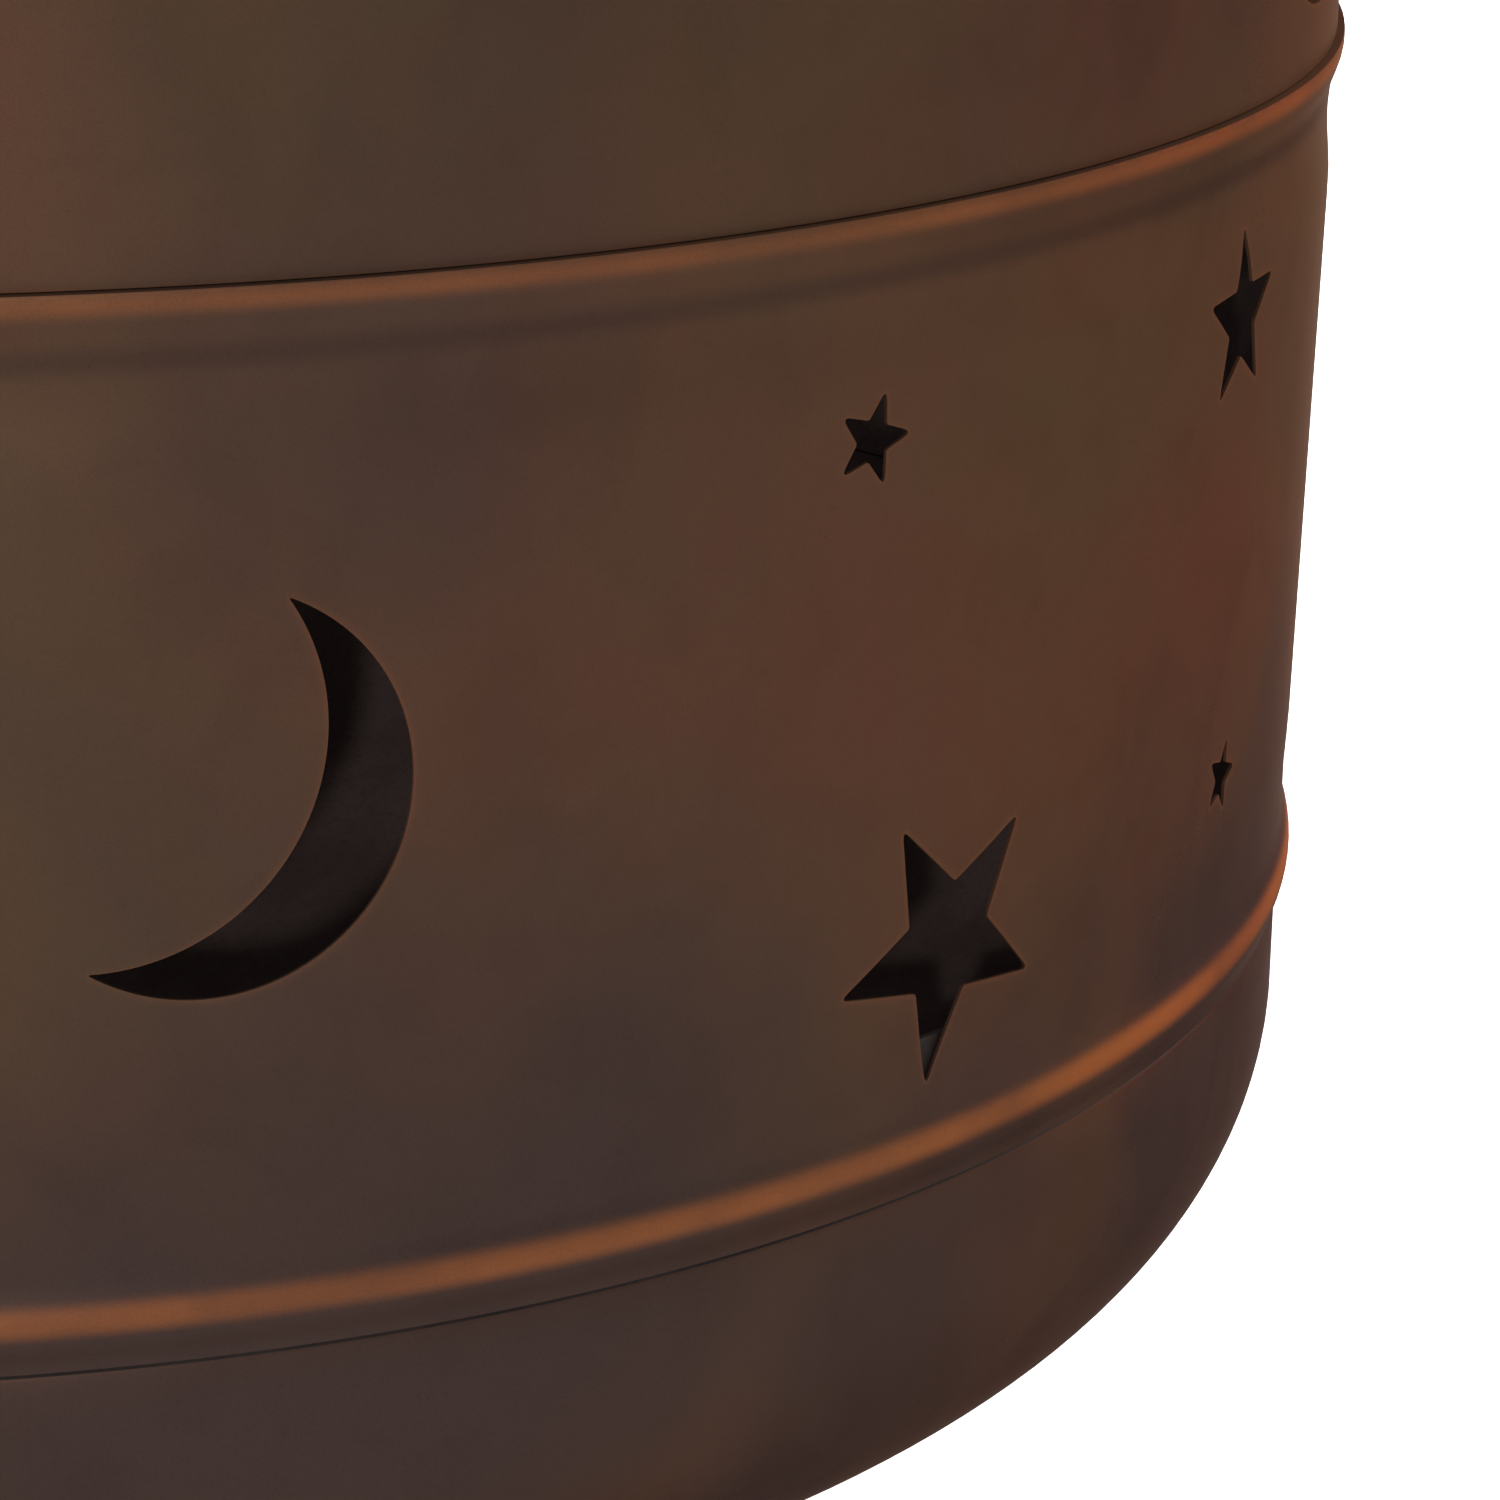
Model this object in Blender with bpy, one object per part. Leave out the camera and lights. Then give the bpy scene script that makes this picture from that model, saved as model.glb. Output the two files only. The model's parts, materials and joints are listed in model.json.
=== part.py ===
"""Steel chiminea: a fire bowl on four legs, a band and a firebox pierced with stars and
moons, a curved screen door, a bell-shaped hood and a chimney with a lift-off rain cap.

The frame: metres, +Z up, the ground at Z = 0, the turning axis of the body on Z.
The door faces -Y, and an azimuth is an angle from -Y towards +X.
"""
import math

import bmesh
import bpy
from mathutils import Matrix, Vector

# ---- Driving dimensions: metres, and degrees for angles ----
BODY_RADIUS = 0.280         # outer radius of the band at half its height
BODY_TAPER = 0.0202         # the band widens upwards by this slope
SHEET = 0.0009              # sheet steel of the body
GAP = 0.0003                # between pieces that touch
BODY_SIDES = 32
CAP_SIDES = 24

SEAM_Z = 0.330              # lower edge of the band
BAND_HEIGHT = 0.172
SHELL_HEIGHT = 0.300
SHELL_RADIUS = 0.28135      # outer radius of the firebox, the hood's skirt alike
NECK_HEIGHT = 0.012         # the part of a ring that goes up inside the next one
SHOULDER = 0.0006           # from a ring's top bead down to the next ring's lower edge

BOWL_RADIUS = 0.2779        # outer radius of the bowl's rim
BOWL_NECK_HEIGHT = 0.027
BOWL_RIM_DEPTH = 0.0216     # straight part of the rim
KNUCKLE_RADIUS = 0.055      # the bowl's shoulder
KNUCKLE_ANGLE = 66.0
BOWL_ROW_RADIUS = 0.205     # of two rows of points on the bowl's crown
BOWL_MIDDLE_RADIUS = 0.060

HOOD_HEIGHT = 0.225
HOOD_SKIRT = 0.012
PIPE_RADIUS = 0.0799        # outer radius of the chimney
COLLAR_RADIUS = PIPE_RADIUS - SHEET - GAP
COLLAR_HEIGHT = 0.022
LOWER_PIPE = 0.215
UPPER_PIPE = 0.205
PIPE_BEAD = 0.0014          # how far the bead at a pipe's end stands out

CAP_RADIUS = 0.118
CAP_RISE = 0.042
CAP_CLEARANCE = 0.050       # open height between the chimney and the cap's rim
STRAP_WIDTH = 0.014
STRAP_SHEET = 0.0012
STRAP_RADIUS = 0.0762
STRAP_TAIL = 0.045          # the part that goes down inside the chimney
STRAP_TAB_END = 0.058       # radius where the tab under the cap ends
STRAP_AZIMUTHS = (60.0, 180.0, 300.0)
CAP_LIP = 0.006
CAP_RIVET_RADIUS = 0.068    # of the circle of the cap's rivets

MOUTH_HALF_WIDTH = 0.1276   # the door mouth in the firebox
MOUTH_LOW = 0.066           # above the firebox's lower edge
MOUTH_HIGH = 0.256
MOUTH_CORNER = 0.005

DOOR_LAP = 0.012            # the door frame laps over the mouth by this much
DOOR_EDGE = 0.026           # height of the frame's top and bottom bars
DOOR_COLUMNS = 12
RETAINER_EDGE = 0.0105
RETAINER_INSET = 0.0035     # from the mouth's edge to the retainer
SCREEN_COLUMNS = 8          # holes of the screen
SCREEN_ROWS = 5
SCREEN_BAR = 0.55           # degrees across an upright of the screen
SCREEN_RUNG = 0.0028
FRAME_ANGLE = 29.5          # half angle of the door frame
WINDOW_ANGLE = 24.3         # half angle of its window
RETAINER_ANGLE = 26.2       # half angle of the mesh and its retainer
RETAINER_RADII = (0.2806, 0.2817)
MESH_RADII = (0.2822, 0.2832)
FRAME_RADII = (0.2839, 0.2851)
CLAMP_AZIMUTH = 25.25       # screws and rivets through frame, mesh and retainer
CLAMP_HALF_SPAN = 0.045

HINGE_AZIMUTH = -32.0
HINGE_RADIUS = 0.2895
HINGE_OFFSET = 0.063        # from the door's middle up and down to the hinges
BARREL_RADIUS = 0.0045
BARREL_HEIGHT = 0.014
BARREL_GAP = 0.0005         # between the bracket's barrel and the door's
LEAF_LENGTH = 0.020
LEAF_SHEET = 0.0022
BRACKET_SHEET = 0.0015
BRACKET_AZIMUTHS = (-39.0, -37.0, -35.0, -33.4)
PIN_RADIUS = 0.0022
PIN_HEAD_RADIUS = 0.0038

HANDLE_REACH = 0.033
HANDLE_ROD = 0.0035
HANDLE_CORNER = 0.010
GRIP_RADIUS = 0.0065
GRIP_HALF_LENGTH = 0.029

LATCH_AZIMUTH = 27.4
LATCH_DROP = -0.072         # below the door's middle
LATCH_WIDTH = 0.011
LATCH_LENGTH = 0.034
LATCH_SHEET = 0.0015
LATCH_BORE = 0.0025
LATCH_LIFT = 0.0004         # between the door, the lever and the head of its pin
KEEPER_SHEET = 0.0015
KEEPER_WIDTH = 0.010

LEG_AZIMUTHS = {
    "front_right": 45.0,
    "rear_right": 135.0,
    "rear_left": 225.0,
    "front_left": 315.0,
}
LEG_WIDTH = 0.030
LEG_SHEET = 0.004
LEG_BOLT_RADIUS = 0.140     # of the circle of the leg bolts
LEG_BOLT_HOLE = 0.0034
KNEE_RADIUS = 0.178         # where a leg stands upright, at the brace ring
BRACE_HEIGHT = 0.150
BRACE_ROD = 0.004
FOOT_HEIGHT = 0.0042
FOOT_RADIUS = 0.016
FOOT_CIRCLE = 0.250

GRATE_RADIUS = 0.118
GRATE_ROD = 0.004
GRATE_BARS = 7

SCREW_AZIMUTHS = (60.0, 120.0, 240.0, 300.0)
HOOD_SCREW_AZIMUTHS = (60.0, 180.0, 300.0)
BOWL_SCREW_HEIGHT = 0.020   # above the band's lower edge
RING_SCREW_HEIGHT = 0.006   # above the lower edge of the firebox and of the hood
SCREW_RADIUS = 0.0019       # of a screw's hole
SCREW_HEAD = 0.0038
SCREW_HEAD_HEIGHT = 0.0020
RING_SCREW_LENGTH = 0.0060
CLAMP_SCREW_LENGTH = 0.0110
RIVET_RADIUS = 0.0016
RIVET_DOME = 0.0016
RIVET_TAIL = 0.0010

# A cut-out is a kind, an azimuth, a height, a radius and a tilt.
# The band carries one group five times; heights are above the band's lower edge.
INNER_STAR = 0.41           # inner radius of a star over its outer radius
BAND_GROUPS = 5
BAND_GROUP = (
    ("moon", -16.5, 0.0933, 0.0330, 0.0),
    ("star", 7.4, 0.1350, 0.0087, -17.0),
    ("star", 30.7, 0.1345, 0.0169, 1.1),
    ("star", 12.0, 0.0442, 0.0258, 28.2),
    ("star", 31.8, 0.0474, 0.0079, -16.1),
)
# The firebox carries another group four times, clear of the door.
SHELL_GROUPS = 4
SHELL_GROUP_STEP = 71.0
SHELL_GROUP = (
    ("moon", 39.4, 0.0448, 0.0330, 0.0),
    ("star", 50.5, 0.1150, 0.0087, 12.0),
    ("star", 66.0, 0.0620, 0.0258, 20.0),
    ("star", 90.0, 0.1100, 0.0169, 8.0),
    ("star", 46.0, 0.1900, 0.0258, 4.0),
    ("star", 72.5, 0.1680, 0.0169, 30.0),
    ("star", 92.0, 0.2150, 0.0087, 16.0),
)
MOON_BITE_RADIUS = 1.125    # of the circle that hollows the moon, over the moon's radius
MOON_BITE_SHIFT = (-0.538, 0.295)

# ---- Derived sizes ----
SHELL_Z = SEAM_Z + BAND_HEIGHT
HOOD_Z = SHELL_Z + SHELL_HEIGHT
COLLAR_Z = HOOD_Z + HOOD_HEIGHT
LOWER_PIPE_Z = COLLAR_Z + 0.002
UPPER_PIPE_Z = LOWER_PIPE_Z + LOWER_PIPE
PIPE_TOP_Z = UPPER_PIPE_Z + UPPER_PIPE
CAP_Z = PIPE_TOP_Z + CAP_CLEARANCE
MOUTH_MIDDLE = SHELL_Z + (MOUTH_LOW + MOUTH_HIGH) / 2
MOUTH_HALF_HEIGHT = (MOUTH_HIGH - MOUTH_LOW) / 2
NECK_RADIUS = SHELL_RADIUS - SHEET - GAP
KNUCKLE_END_RADIUS = BOWL_RADIUS - KNUCKLE_RADIUS * (1 - math.cos(math.radians(KNUCKLE_ANGLE)))
CROWN_RADIUS = KNUCKLE_END_RADIUS / math.cos(math.radians(KNUCKLE_ANGLE))
KNUCKLE_END_Z = SEAM_Z - BOWL_RIM_DEPTH - KNUCKLE_RADIUS * math.sin(math.radians(KNUCKLE_ANGLE))
CROWN_CENTRE_Z = KNUCKLE_END_Z + CROWN_RADIUS * math.sin(math.radians(KNUCKLE_ANGLE))


# ---- Materials ----
def material(name, color, roughness, metallic):
    """A Principled material."""
    mat = bpy.data.materials.new(name)
    mat.use_nodes = True
    shader = mat.node_tree.nodes["Principled BSDF"]
    shader.inputs["Base Color"].default_value = (*color, 1.0)
    shader.inputs["Roughness"].default_value = roughness
    shader.inputs["Metallic"].default_value = metallic
    return mat


# ---- Places on the body ----
def outward(azimuth):
    """The unit vector that points away from the axis at an azimuth."""
    a = math.radians(azimuth)
    return Vector((math.sin(a), -math.cos(a), 0.0))


def wall_frame(azimuth, radius, height):
    """A frame on the wall: local X along it to the right, local Y up, local Z outward."""
    out = outward(azimuth)
    right = Vector((-out.y, out.x, 0.0))
    up = Vector((0.0, 0.0, 1.0))
    turn = Matrix((right, up, out)).transposed().to_4x4()
    return Matrix.Translation(out * radius + Vector((0, 0, height))) @ turn


def radial_frame(azimuth):
    """A frame on the axis: local X outward, local Z up."""
    return Matrix.Rotation(math.radians(azimuth - 90.0), 4, "Z")


# ---- Making objects ----
def add_object(name, bm, mat, matrix=None, sharp=35.0):
    """Finish a bmesh as an object shaded smooth, with its sharp edges kept."""
    bmesh.ops.recalc_face_normals(bm, faces=bm.faces)
    mesh = bpy.data.meshes.new(name)
    bm.to_mesh(mesh)
    bm.free()
    mesh.materials.append(mat)
    mesh.shade_smooth()
    mesh.set_sharp_from_angle(angle=math.radians(sharp))
    obj = bpy.data.objects.new(name, mesh)
    bpy.context.scene.collection.objects.link(obj)
    if matrix is not None:
        obj.matrix_world = matrix
    return obj


def add_cutter(name, bm, matrix=None):
    """A tool for a Boolean, which is not a piece of the chiminea."""
    obj = add_object(name, bm, GUIDE, matrix)
    obj.hide_render = True
    obj.display_type = "WIRE"
    return obj


def boolean(obj, tool, operation):
    """Cut a tool from an object, or join it to the object."""
    mod = obj.modifiers.new(f"{operation.lower()}_{tool.name}", "BOOLEAN")
    mod.operation = operation
    mod.object = tool
    mod.solver = "EXACT"


def lathe(outline, sides, closed=True):
    """Turn an outline of (radius, height) points about Z.

    An outline that isn't closed starts and ends on the axis.
    """
    bm = bmesh.new()
    verts = [bm.verts.new((r, 0.0, z)) for r, z in outline]
    pairs = list(zip(verts, verts[1:]))
    if closed:
        pairs.append((verts[-1], verts[0]))
    edges = [bm.edges.new(pair) for pair in pairs]
    bmesh.ops.spin(bm, geom=verts + edges, cent=(0, 0, 0), axis=(0, 0, 1),
                   angle=2 * math.pi, steps=sides, use_merge=True)
    bmesh.ops.remove_doubles(bm, verts=bm.verts, dist=1e-6)
    bmesh.ops.dissolve_degenerate(bm, edges=bm.edges, dist=1e-6)
    return bm


def prism(outline, low, high):
    """Extrude an outline of (x, y) points from z = low to z = high."""
    bm = bmesh.new()
    face = bm.faces.new([bm.verts.new((x, y, low)) for x, y in outline])
    grown = bmesh.ops.extrude_face_region(bm, geom=[face])
    tops = [v for v in grown["geom"] if isinstance(v, bmesh.types.BMVert)]
    bmesh.ops.translate(bm, verts=tops, vec=(0, 0, high - low))
    return bm


def block(low, high):
    """A box between two corners."""
    bm = bmesh.new()
    bmesh.ops.create_cube(bm, size=1.0)
    size = [b - a for a, b in zip(low, high)]
    middle = [(a + b) / 2 for a, b in zip(low, high)]
    bmesh.ops.scale(bm, vec=size, verts=bm.verts)
    bmesh.ops.translate(bm, vec=middle, verts=bm.verts)
    return bm


def circle(radius, sides, middle=(0.0, 0.0)):
    """Points around a circle."""
    steps = [2 * math.pi * k / sides for k in range(sides)]
    return [(middle[0] + radius * math.cos(a), middle[1] + radius * math.sin(a)) for a in steps]


def merge_into(target, source, matrix):
    """Add a bmesh to another one, moved by a matrix."""
    source.transform(matrix)
    mesh = bpy.data.meshes.new("part_of_cutter")
    source.to_mesh(mesh)
    source.free()
    target.from_mesh(mesh)
    bpy.data.meshes.remove(mesh)


def thickened(points, thickness):
    """The closed outline of a sheet whose outer side runs through the points, bottom to top.

    The inner side lies to the left of that run, square to it.
    """
    inner = []
    last = len(points) - 1
    for k, (r, z) in enumerate(points):
        before = Vector(points[k]) - Vector(points[max(k - 1, 0)])
        after = Vector(points[min(k + 1, last)]) - Vector(points[k])
        if before.length == 0:
            before = after
        if after.length == 0:
            after = before
        normal_a = Vector((-before.y, before.x)).normalized()
        normal_b = Vector((-after.y, after.x)).normalized()
        middle = (normal_a + normal_b).normalized()
        reach = thickness / max(middle.dot(normal_a), 0.5)
        inner.append((max(r + middle.x * reach, 0.0), z + middle.y * reach))
    return list(points) + inner[::-1]


def curved_sheet(azimuths, heights, filled, radii):
    """A sheet on the cylinder, made of the cells that filled(column, row) keeps."""
    bm = bmesh.new()
    corners = {}

    def corner(column, row, side):
        key = (column, row, side)
        if key not in corners:
            place = outward(azimuths[column]) * radii[side]
            corners[key] = bm.verts.new((place.x, place.y, heights[row]))
        return corners[key]

    columns = len(azimuths) - 1
    rows = len(heights) - 1

    def kept(column, row):
        return 0 <= column < columns and 0 <= row < rows and filled(column, row)

    for column in range(columns):
        for row in range(rows):
            if not kept(column, row):
                continue
            square = [(column, row), (column + 1, row), (column + 1, row + 1), (column, row + 1)]
            for side in (0, 1):
                bm.faces.new([corner(c, r, side) for c, r in square])
            beside = [(column, row - 1), (column + 1, row), (column, row + 1), (column - 1, row)]
            for k, neighbour in enumerate(beside):
                if not kept(*neighbour):
                    a = square[k]
                    b = square[(k + 1) % 4]
                    bm.faces.new([corner(*a, 0), corner(*b, 0), corner(*b, 1), corner(*a, 1)])
    return bm


def spread(low, high, count):
    """Evenly spaced values from low to high, count + 1 of them."""
    return [low + (high - low) * k / count for k in range(count + 1)]


def bump(distance, half_width):
    """A smooth rise from 0 at the half width to 1 in the middle."""
    t = min(abs(distance) / half_width, 1.0)
    return 0.5 * (1 + math.cos(math.pi * t))


# ---- Cut-outs ----
def star_outline(radius, tilt):
    """A five-pointed star with one point up, turned to the left by tilt."""
    points = []
    for k in range(10):
        reach = radius if k % 2 == 0 else radius * INNER_STAR
        a = math.radians(90.0 + tilt + 36.0 * k)
        points.append((reach * math.cos(a), reach * math.sin(a)))
    return points


def moon_outline(radius):
    """A crescent: a disc less a larger disc to its upper left."""
    bite = radius * MOON_BITE_RADIUS
    shift = Vector(MOON_BITE_SHIFT) * radius
    # The two circles meet where the line between their centres is crossed square.
    along = (radius ** 2 - bite ** 2 + shift.length_squared) / (2 * shift.length)
    half = math.acos(along / radius)
    half_bite = math.acos((along - shift.length) / bite)
    toward = math.atan2(shift.y, shift.x)
    outer = spread(toward + half, toward + 2 * math.pi - half, 10)
    inner = spread(toward + 2 * math.pi - half_bite, toward + half_bite, 7)
    points = [(radius * math.cos(a), radius * math.sin(a)) for a in outer]
    points += [(shift.x + bite * math.cos(a), shift.y + bite * math.sin(a)) for a in inner[1:-1]]
    return points


def cutout_tools(group, count, step, base):
    """All the cut-outs of a ring of sheet as one tool."""
    tools = bmesh.new()
    for turn in range(count):
        for kind, azimuth, height, radius, tilt in group:
            outline = moon_outline(radius) if kind == "moon" else star_outline(radius, tilt)
            place = wall_frame(azimuth + step * turn, SHELL_RADIUS, base + height)
            merge_into(tools, prism(outline, -0.012, 0.012), place)
    return tools


# ---- The body ----
def band_radius(height):
    """Outer radius of the band, with its two beads and the grooves beside them."""
    radius = BODY_RADIUS + BODY_TAPER * (height - BAND_HEIGHT / 2)
    radius += 0.00187 * bump(height - 0.0076, 0.0084)
    radius -= 0.00034 * bump(height - 0.0244, 0.0126)
    radius -= 0.00112 * bump(height - 0.1568, 0.0154)
    radius += 0.00118 * bump(height - 0.1697, 0.0078)
    return radius


def neck(base):
    """The step in from a ring's top bead and the neck that goes up inside the next ring."""
    return [
        (SHELL_RADIUS + 0.0002, base - SHOULDER),
        (NECK_RADIUS, base - SHOULDER / 3),
        (NECK_RADIUS, base + NECK_HEIGHT),
    ]


def make_bowl():
    """The dished fire bowl, with a neck that goes up inside the band."""
    knuckle = []
    for angle in spread(0.0, KNUCKLE_ANGLE, 4):
        a = math.radians(angle)
        knuckle.append((BOWL_RADIUS - KNUCKLE_RADIUS * (1 - math.cos(a)),
                        SEAM_Z - BOWL_RIM_DEPTH - KNUCKLE_RADIUS * math.sin(a)))
    crown_radii = (BOWL_ROW_RADIUS, LEG_BOLT_RADIUS, GRATE_RADIUS, BOWL_MIDDLE_RADIUS)
    crown = [(radius, dish_height(radius)) for radius in crown_radii]
    side = [(0.0, dish_height(0.0))] + crown[::-1] + knuckle[::-1]
    side.append((BOWL_RADIUS, SEAM_Z - 0.0009))
    neck_radius = band_radius(0.0) - SHEET - GAP
    side.append((neck_radius, SEAM_Z - 0.0001))
    side.append((neck_radius, SEAM_Z + BOWL_NECK_HEIGHT))
    outline = thickened(side, SHEET)
    return add_object("fire_bowl", lathe(outline, BODY_SIDES, closed=False), PATINA)


def dish_height(radius):
    """Height of the bowl's outer side on its crown."""
    return CROWN_CENTRE_Z - math.sqrt(CROWN_RADIUS ** 2 - radius ** 2)


def dish_slope(radius):
    """Slope of the crown, in radians."""
    return math.asin(radius / CROWN_RADIUS)


def make_band():
    """The low ring with the stars and moons."""
    heights = [0.0, 0.0038, 0.0076, 0.0114, 0.0160, 0.040, 0.138, 0.1568, 0.1640, 0.1697]
    side = [(band_radius(h), SEAM_Z + h) for h in heights]
    side += neck(SHELL_Z)
    band = add_object("pierced_band", lathe(thickened(side, SHEET), BODY_SIDES), PATINA)
    tools = cutout_tools(BAND_GROUP, BAND_GROUPS, 360.0 / BAND_GROUPS, SEAM_Z)
    boolean(band, add_cutter("band_cutouts", tools), "DIFFERENCE")
    return band


def make_shell():
    """The firebox wall with its cut-outs and the door mouth."""
    top = SHELL_HEIGHT
    side = [(SHELL_RADIUS, SHELL_Z), (SHELL_RADIUS, SHELL_Z + top - 0.0100)]
    side += [(SHELL_RADIUS + 0.0010, SHELL_Z + top - 0.0055)]
    side += [(SHELL_RADIUS + 0.0014, SHELL_Z + top - 0.0023)]
    side += neck(HOOD_Z)
    shell = add_object("firebox_shell", lathe(thickened(side, SHEET), BODY_SIDES), PATINA)
    tools = cutout_tools(SHELL_GROUP, SHELL_GROUPS, SHELL_GROUP_STEP, SHELL_Z)
    boolean(shell, add_cutter("shell_cutouts", tools), "DIFFERENCE")
    mouth = prism(rounded_rectangle(MOUTH_HALF_WIDTH, MOUTH_HALF_HEIGHT, MOUTH_CORNER),
                  -0.060, 0.020)
    place = wall_frame(0.0, SHELL_RADIUS, MOUTH_MIDDLE)
    boolean(shell, add_cutter("mouth_cutter", mouth, place), "DIFFERENCE")
    return shell


def rounded_rectangle(half_width, half_height, corner):
    """The outline of a rectangle with round corners."""
    points = []
    for turn in range(4):
        sign_x = 1 if turn in (0, 3) else -1
        sign_y = 1 if turn in (0, 1) else -1
        for angle in spread(90.0 * turn, 90.0 * turn + 90.0, 4):
            a = math.radians(angle)
            points.append((sign_x * (half_width - corner) + corner * math.cos(a),
                           sign_y * (half_height - corner) + corner * math.sin(a)))
    return points


def make_hood():
    """The bell-shaped hood, up to the collar that carries the chimney."""
    side = [(SHELL_RADIUS, HOOD_Z), (SHELL_RADIUS, HOOD_Z + HOOD_SKIRT)]
    rise = HOOD_HEIGHT - HOOD_SKIRT
    for share in spread(0.0, 1.0, 6)[1:]:
        blend = 0.5 + 0.5 * math.cos(math.pi * share ** 1.12)
        radius = COLLAR_RADIUS + (SHELL_RADIUS - COLLAR_RADIUS) * blend
        side.append((radius, HOOD_Z + HOOD_SKIRT + rise * share))
    side.append((COLLAR_RADIUS, COLLAR_Z + COLLAR_HEIGHT))
    return add_object("hood", lathe(thickened(side, SHEET), BODY_SIDES), PATINA)


def make_pipe(name, base, length, with_neck):
    """One length of chimney, the lower one with a neck for the next."""
    top = base + length
    side = [(PIPE_RADIUS + PIPE_BEAD, base), (PIPE_RADIUS, base + 0.003)]
    if with_neck:
        side += [(PIPE_RADIUS, top - 0.005), (PIPE_RADIUS + PIPE_BEAD, top - 0.002)]
        side += [(COLLAR_RADIUS, top - 0.0004), (COLLAR_RADIUS, top + COLLAR_HEIGHT)]
    else:
        side += [(PIPE_RADIUS, top)]
    return add_object(name, lathe(thickened(side, SHEET), BODY_SIDES), PATINA)


# ---- The rain cap ----
def cap_height(radius):
    """Height of the cap's upper side."""
    return CAP_Z + CAP_RISE * (1 - radius / CAP_RADIUS)


def make_cap():
    """The rain cap, a shallow cone with a turned-down rim."""
    side = [(CAP_RADIUS, CAP_Z - CAP_LIP), (CAP_RADIUS, CAP_Z)]
    side += [(CAP_RADIUS / 2, cap_height(CAP_RADIUS / 2)), (0.0, cap_height(0.0))]
    outline = thickened(side, SHEET)
    from_axis = outline[len(side):] + outline[:len(side)]
    return add_object("rain_cap", lathe(from_axis, CAP_SIDES, closed=False), PATINA)


def strap_outline():
    """Side view of a strap: a tail in the chimney, a step on its rim, a post and a top tab."""
    rim = PIPE_TOP_Z + GAP + STRAP_SHEET / 2
    post = PIPE_RADIUS + 0.004
    slope = CAP_RISE / CAP_RADIUS
    drop = SHEET * math.hypot(1, slope) + 3 * GAP + STRAP_SHEET * 0.55

    def under(radius):
        return cap_height(radius) - drop

    middle = [(STRAP_RADIUS, PIPE_TOP_Z - STRAP_TAIL), (STRAP_RADIUS, rim), (post, rim)]
    middle += [(post, under(post)), (STRAP_TAB_END, under(STRAP_TAB_END))]
    return ribbon(middle, STRAP_SHEET)


def ribbon(middle, thickness):
    """The closed outline of a strip with its middle line through the points."""
    full = thickened([Vector(p) for p in middle], thickness)
    count = len(middle)
    shifted = []
    for k in range(count):
        half = (Vector(full[2 * count - 1 - k]) - Vector(full[k])) / 2
        shifted.append(half)
    one_side = [tuple(Vector(p) - h) for p, h in zip(middle, shifted)]
    other_side = [tuple(Vector(p) + h) for p, h in zip(middle, shifted)]
    return one_side + other_side[::-1]


def upright(outline, width):
    """A strip seen from its side: the outline is (radius, height), and it is width wide."""
    bm = prism(outline, -width / 2, width / 2)
    quarter_turn = Matrix.Rotation(math.pi / 2, 3, "X")
    bmesh.ops.rotate(bm, verts=bm.verts, cent=(0, 0, 0), matrix=quarter_turn)
    return bm


def rivet(name, head_radius, length, mat, matrix):
    """A rivet with a domed head on local +Z, a shank and a flat tail."""
    tail_radius = RIVET_RADIUS * 1.5
    outline = [(0.0, RIVET_DOME)]
    for angle in (40.0, 0.0):
        a = math.radians(angle)
        outline.append((head_radius * math.cos(a), RIVET_DOME * math.sin(a)))
    outline += [(RIVET_RADIUS, 0.0), (RIVET_RADIUS, -length), (tail_radius, -length)]
    outline += [(tail_radius, -length - RIVET_TAIL), (0.0, -length - RIVET_TAIL)]
    return add_object(name, lathe(outline, 8, closed=False), mat, matrix)


def make_cap_mounting(cap):
    """Three straps and their rivets."""
    slope = Matrix.Rotation(math.atan(CAP_RISE / CAP_RADIUS), 4, "Y")
    top = Matrix.Translation((CAP_RIVET_RADIUS, 0, cap_height(CAP_RIVET_RADIUS) + GAP))
    depth = SHEET + STRAP_SHEET + 6 * GAP
    for k, azimuth in enumerate(STRAP_AZIMUTHS):
        turn = radial_frame(azimuth)
        bm = upright(strap_outline(), STRAP_WIDTH)
        strap = add_object(f"cap_strap_{k + 1}", bm, DARK_STEEL, turn)
        place = turn @ top @ slope
        hole = prism(circle(RIVET_RADIUS + GAP, 8), -0.006, 0.004)
        tool = add_cutter(f"cap_hole_{k + 1}", hole, place)
        boolean(cap, tool, "DIFFERENCE")
        boolean(strap, tool, "DIFFERENCE")
        rivet(f"cap_rivet_{k + 1}", 0.0035, depth, BRIGHT_STEEL, place)


# ---- Screws that hold the rings together ----
def screw(name, matrix, length):
    """A pan-head screw, head on local +Z."""
    shank = SCREW_RADIUS - GAP
    crown = SCREW_HEAD_HEIGHT
    outline = [(0.0, crown), (SCREW_HEAD * 0.72, crown * 0.85), (SCREW_HEAD, crown * 0.35)]
    outline += [(SCREW_HEAD, 0.0), (shank, 0.0), (shank, -length), (0.0, -length - 0.001)]
    return add_object(name, lathe(outline, 6, closed=False), BRIGHT_STEEL, matrix)


def join_rings(name, azimuths, height, radius, pieces):
    """Screws through two rings of sheet, with the holes for them."""
    tools = bmesh.new()
    for k, azimuth in enumerate(azimuths):
        place = wall_frame(azimuth, radius, height)
        merge_into(tools, prism(circle(SCREW_RADIUS, 6), -0.010, 0.006), place)
        screw(f"{name}_{k + 1}", place @ Matrix.Translation((0, 0, GAP)), RING_SCREW_LENGTH)
    tool = add_cutter(f"{name}_holes", tools)
    for piece in pieces:
        boolean(piece, tool, "DIFFERENCE")


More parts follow.
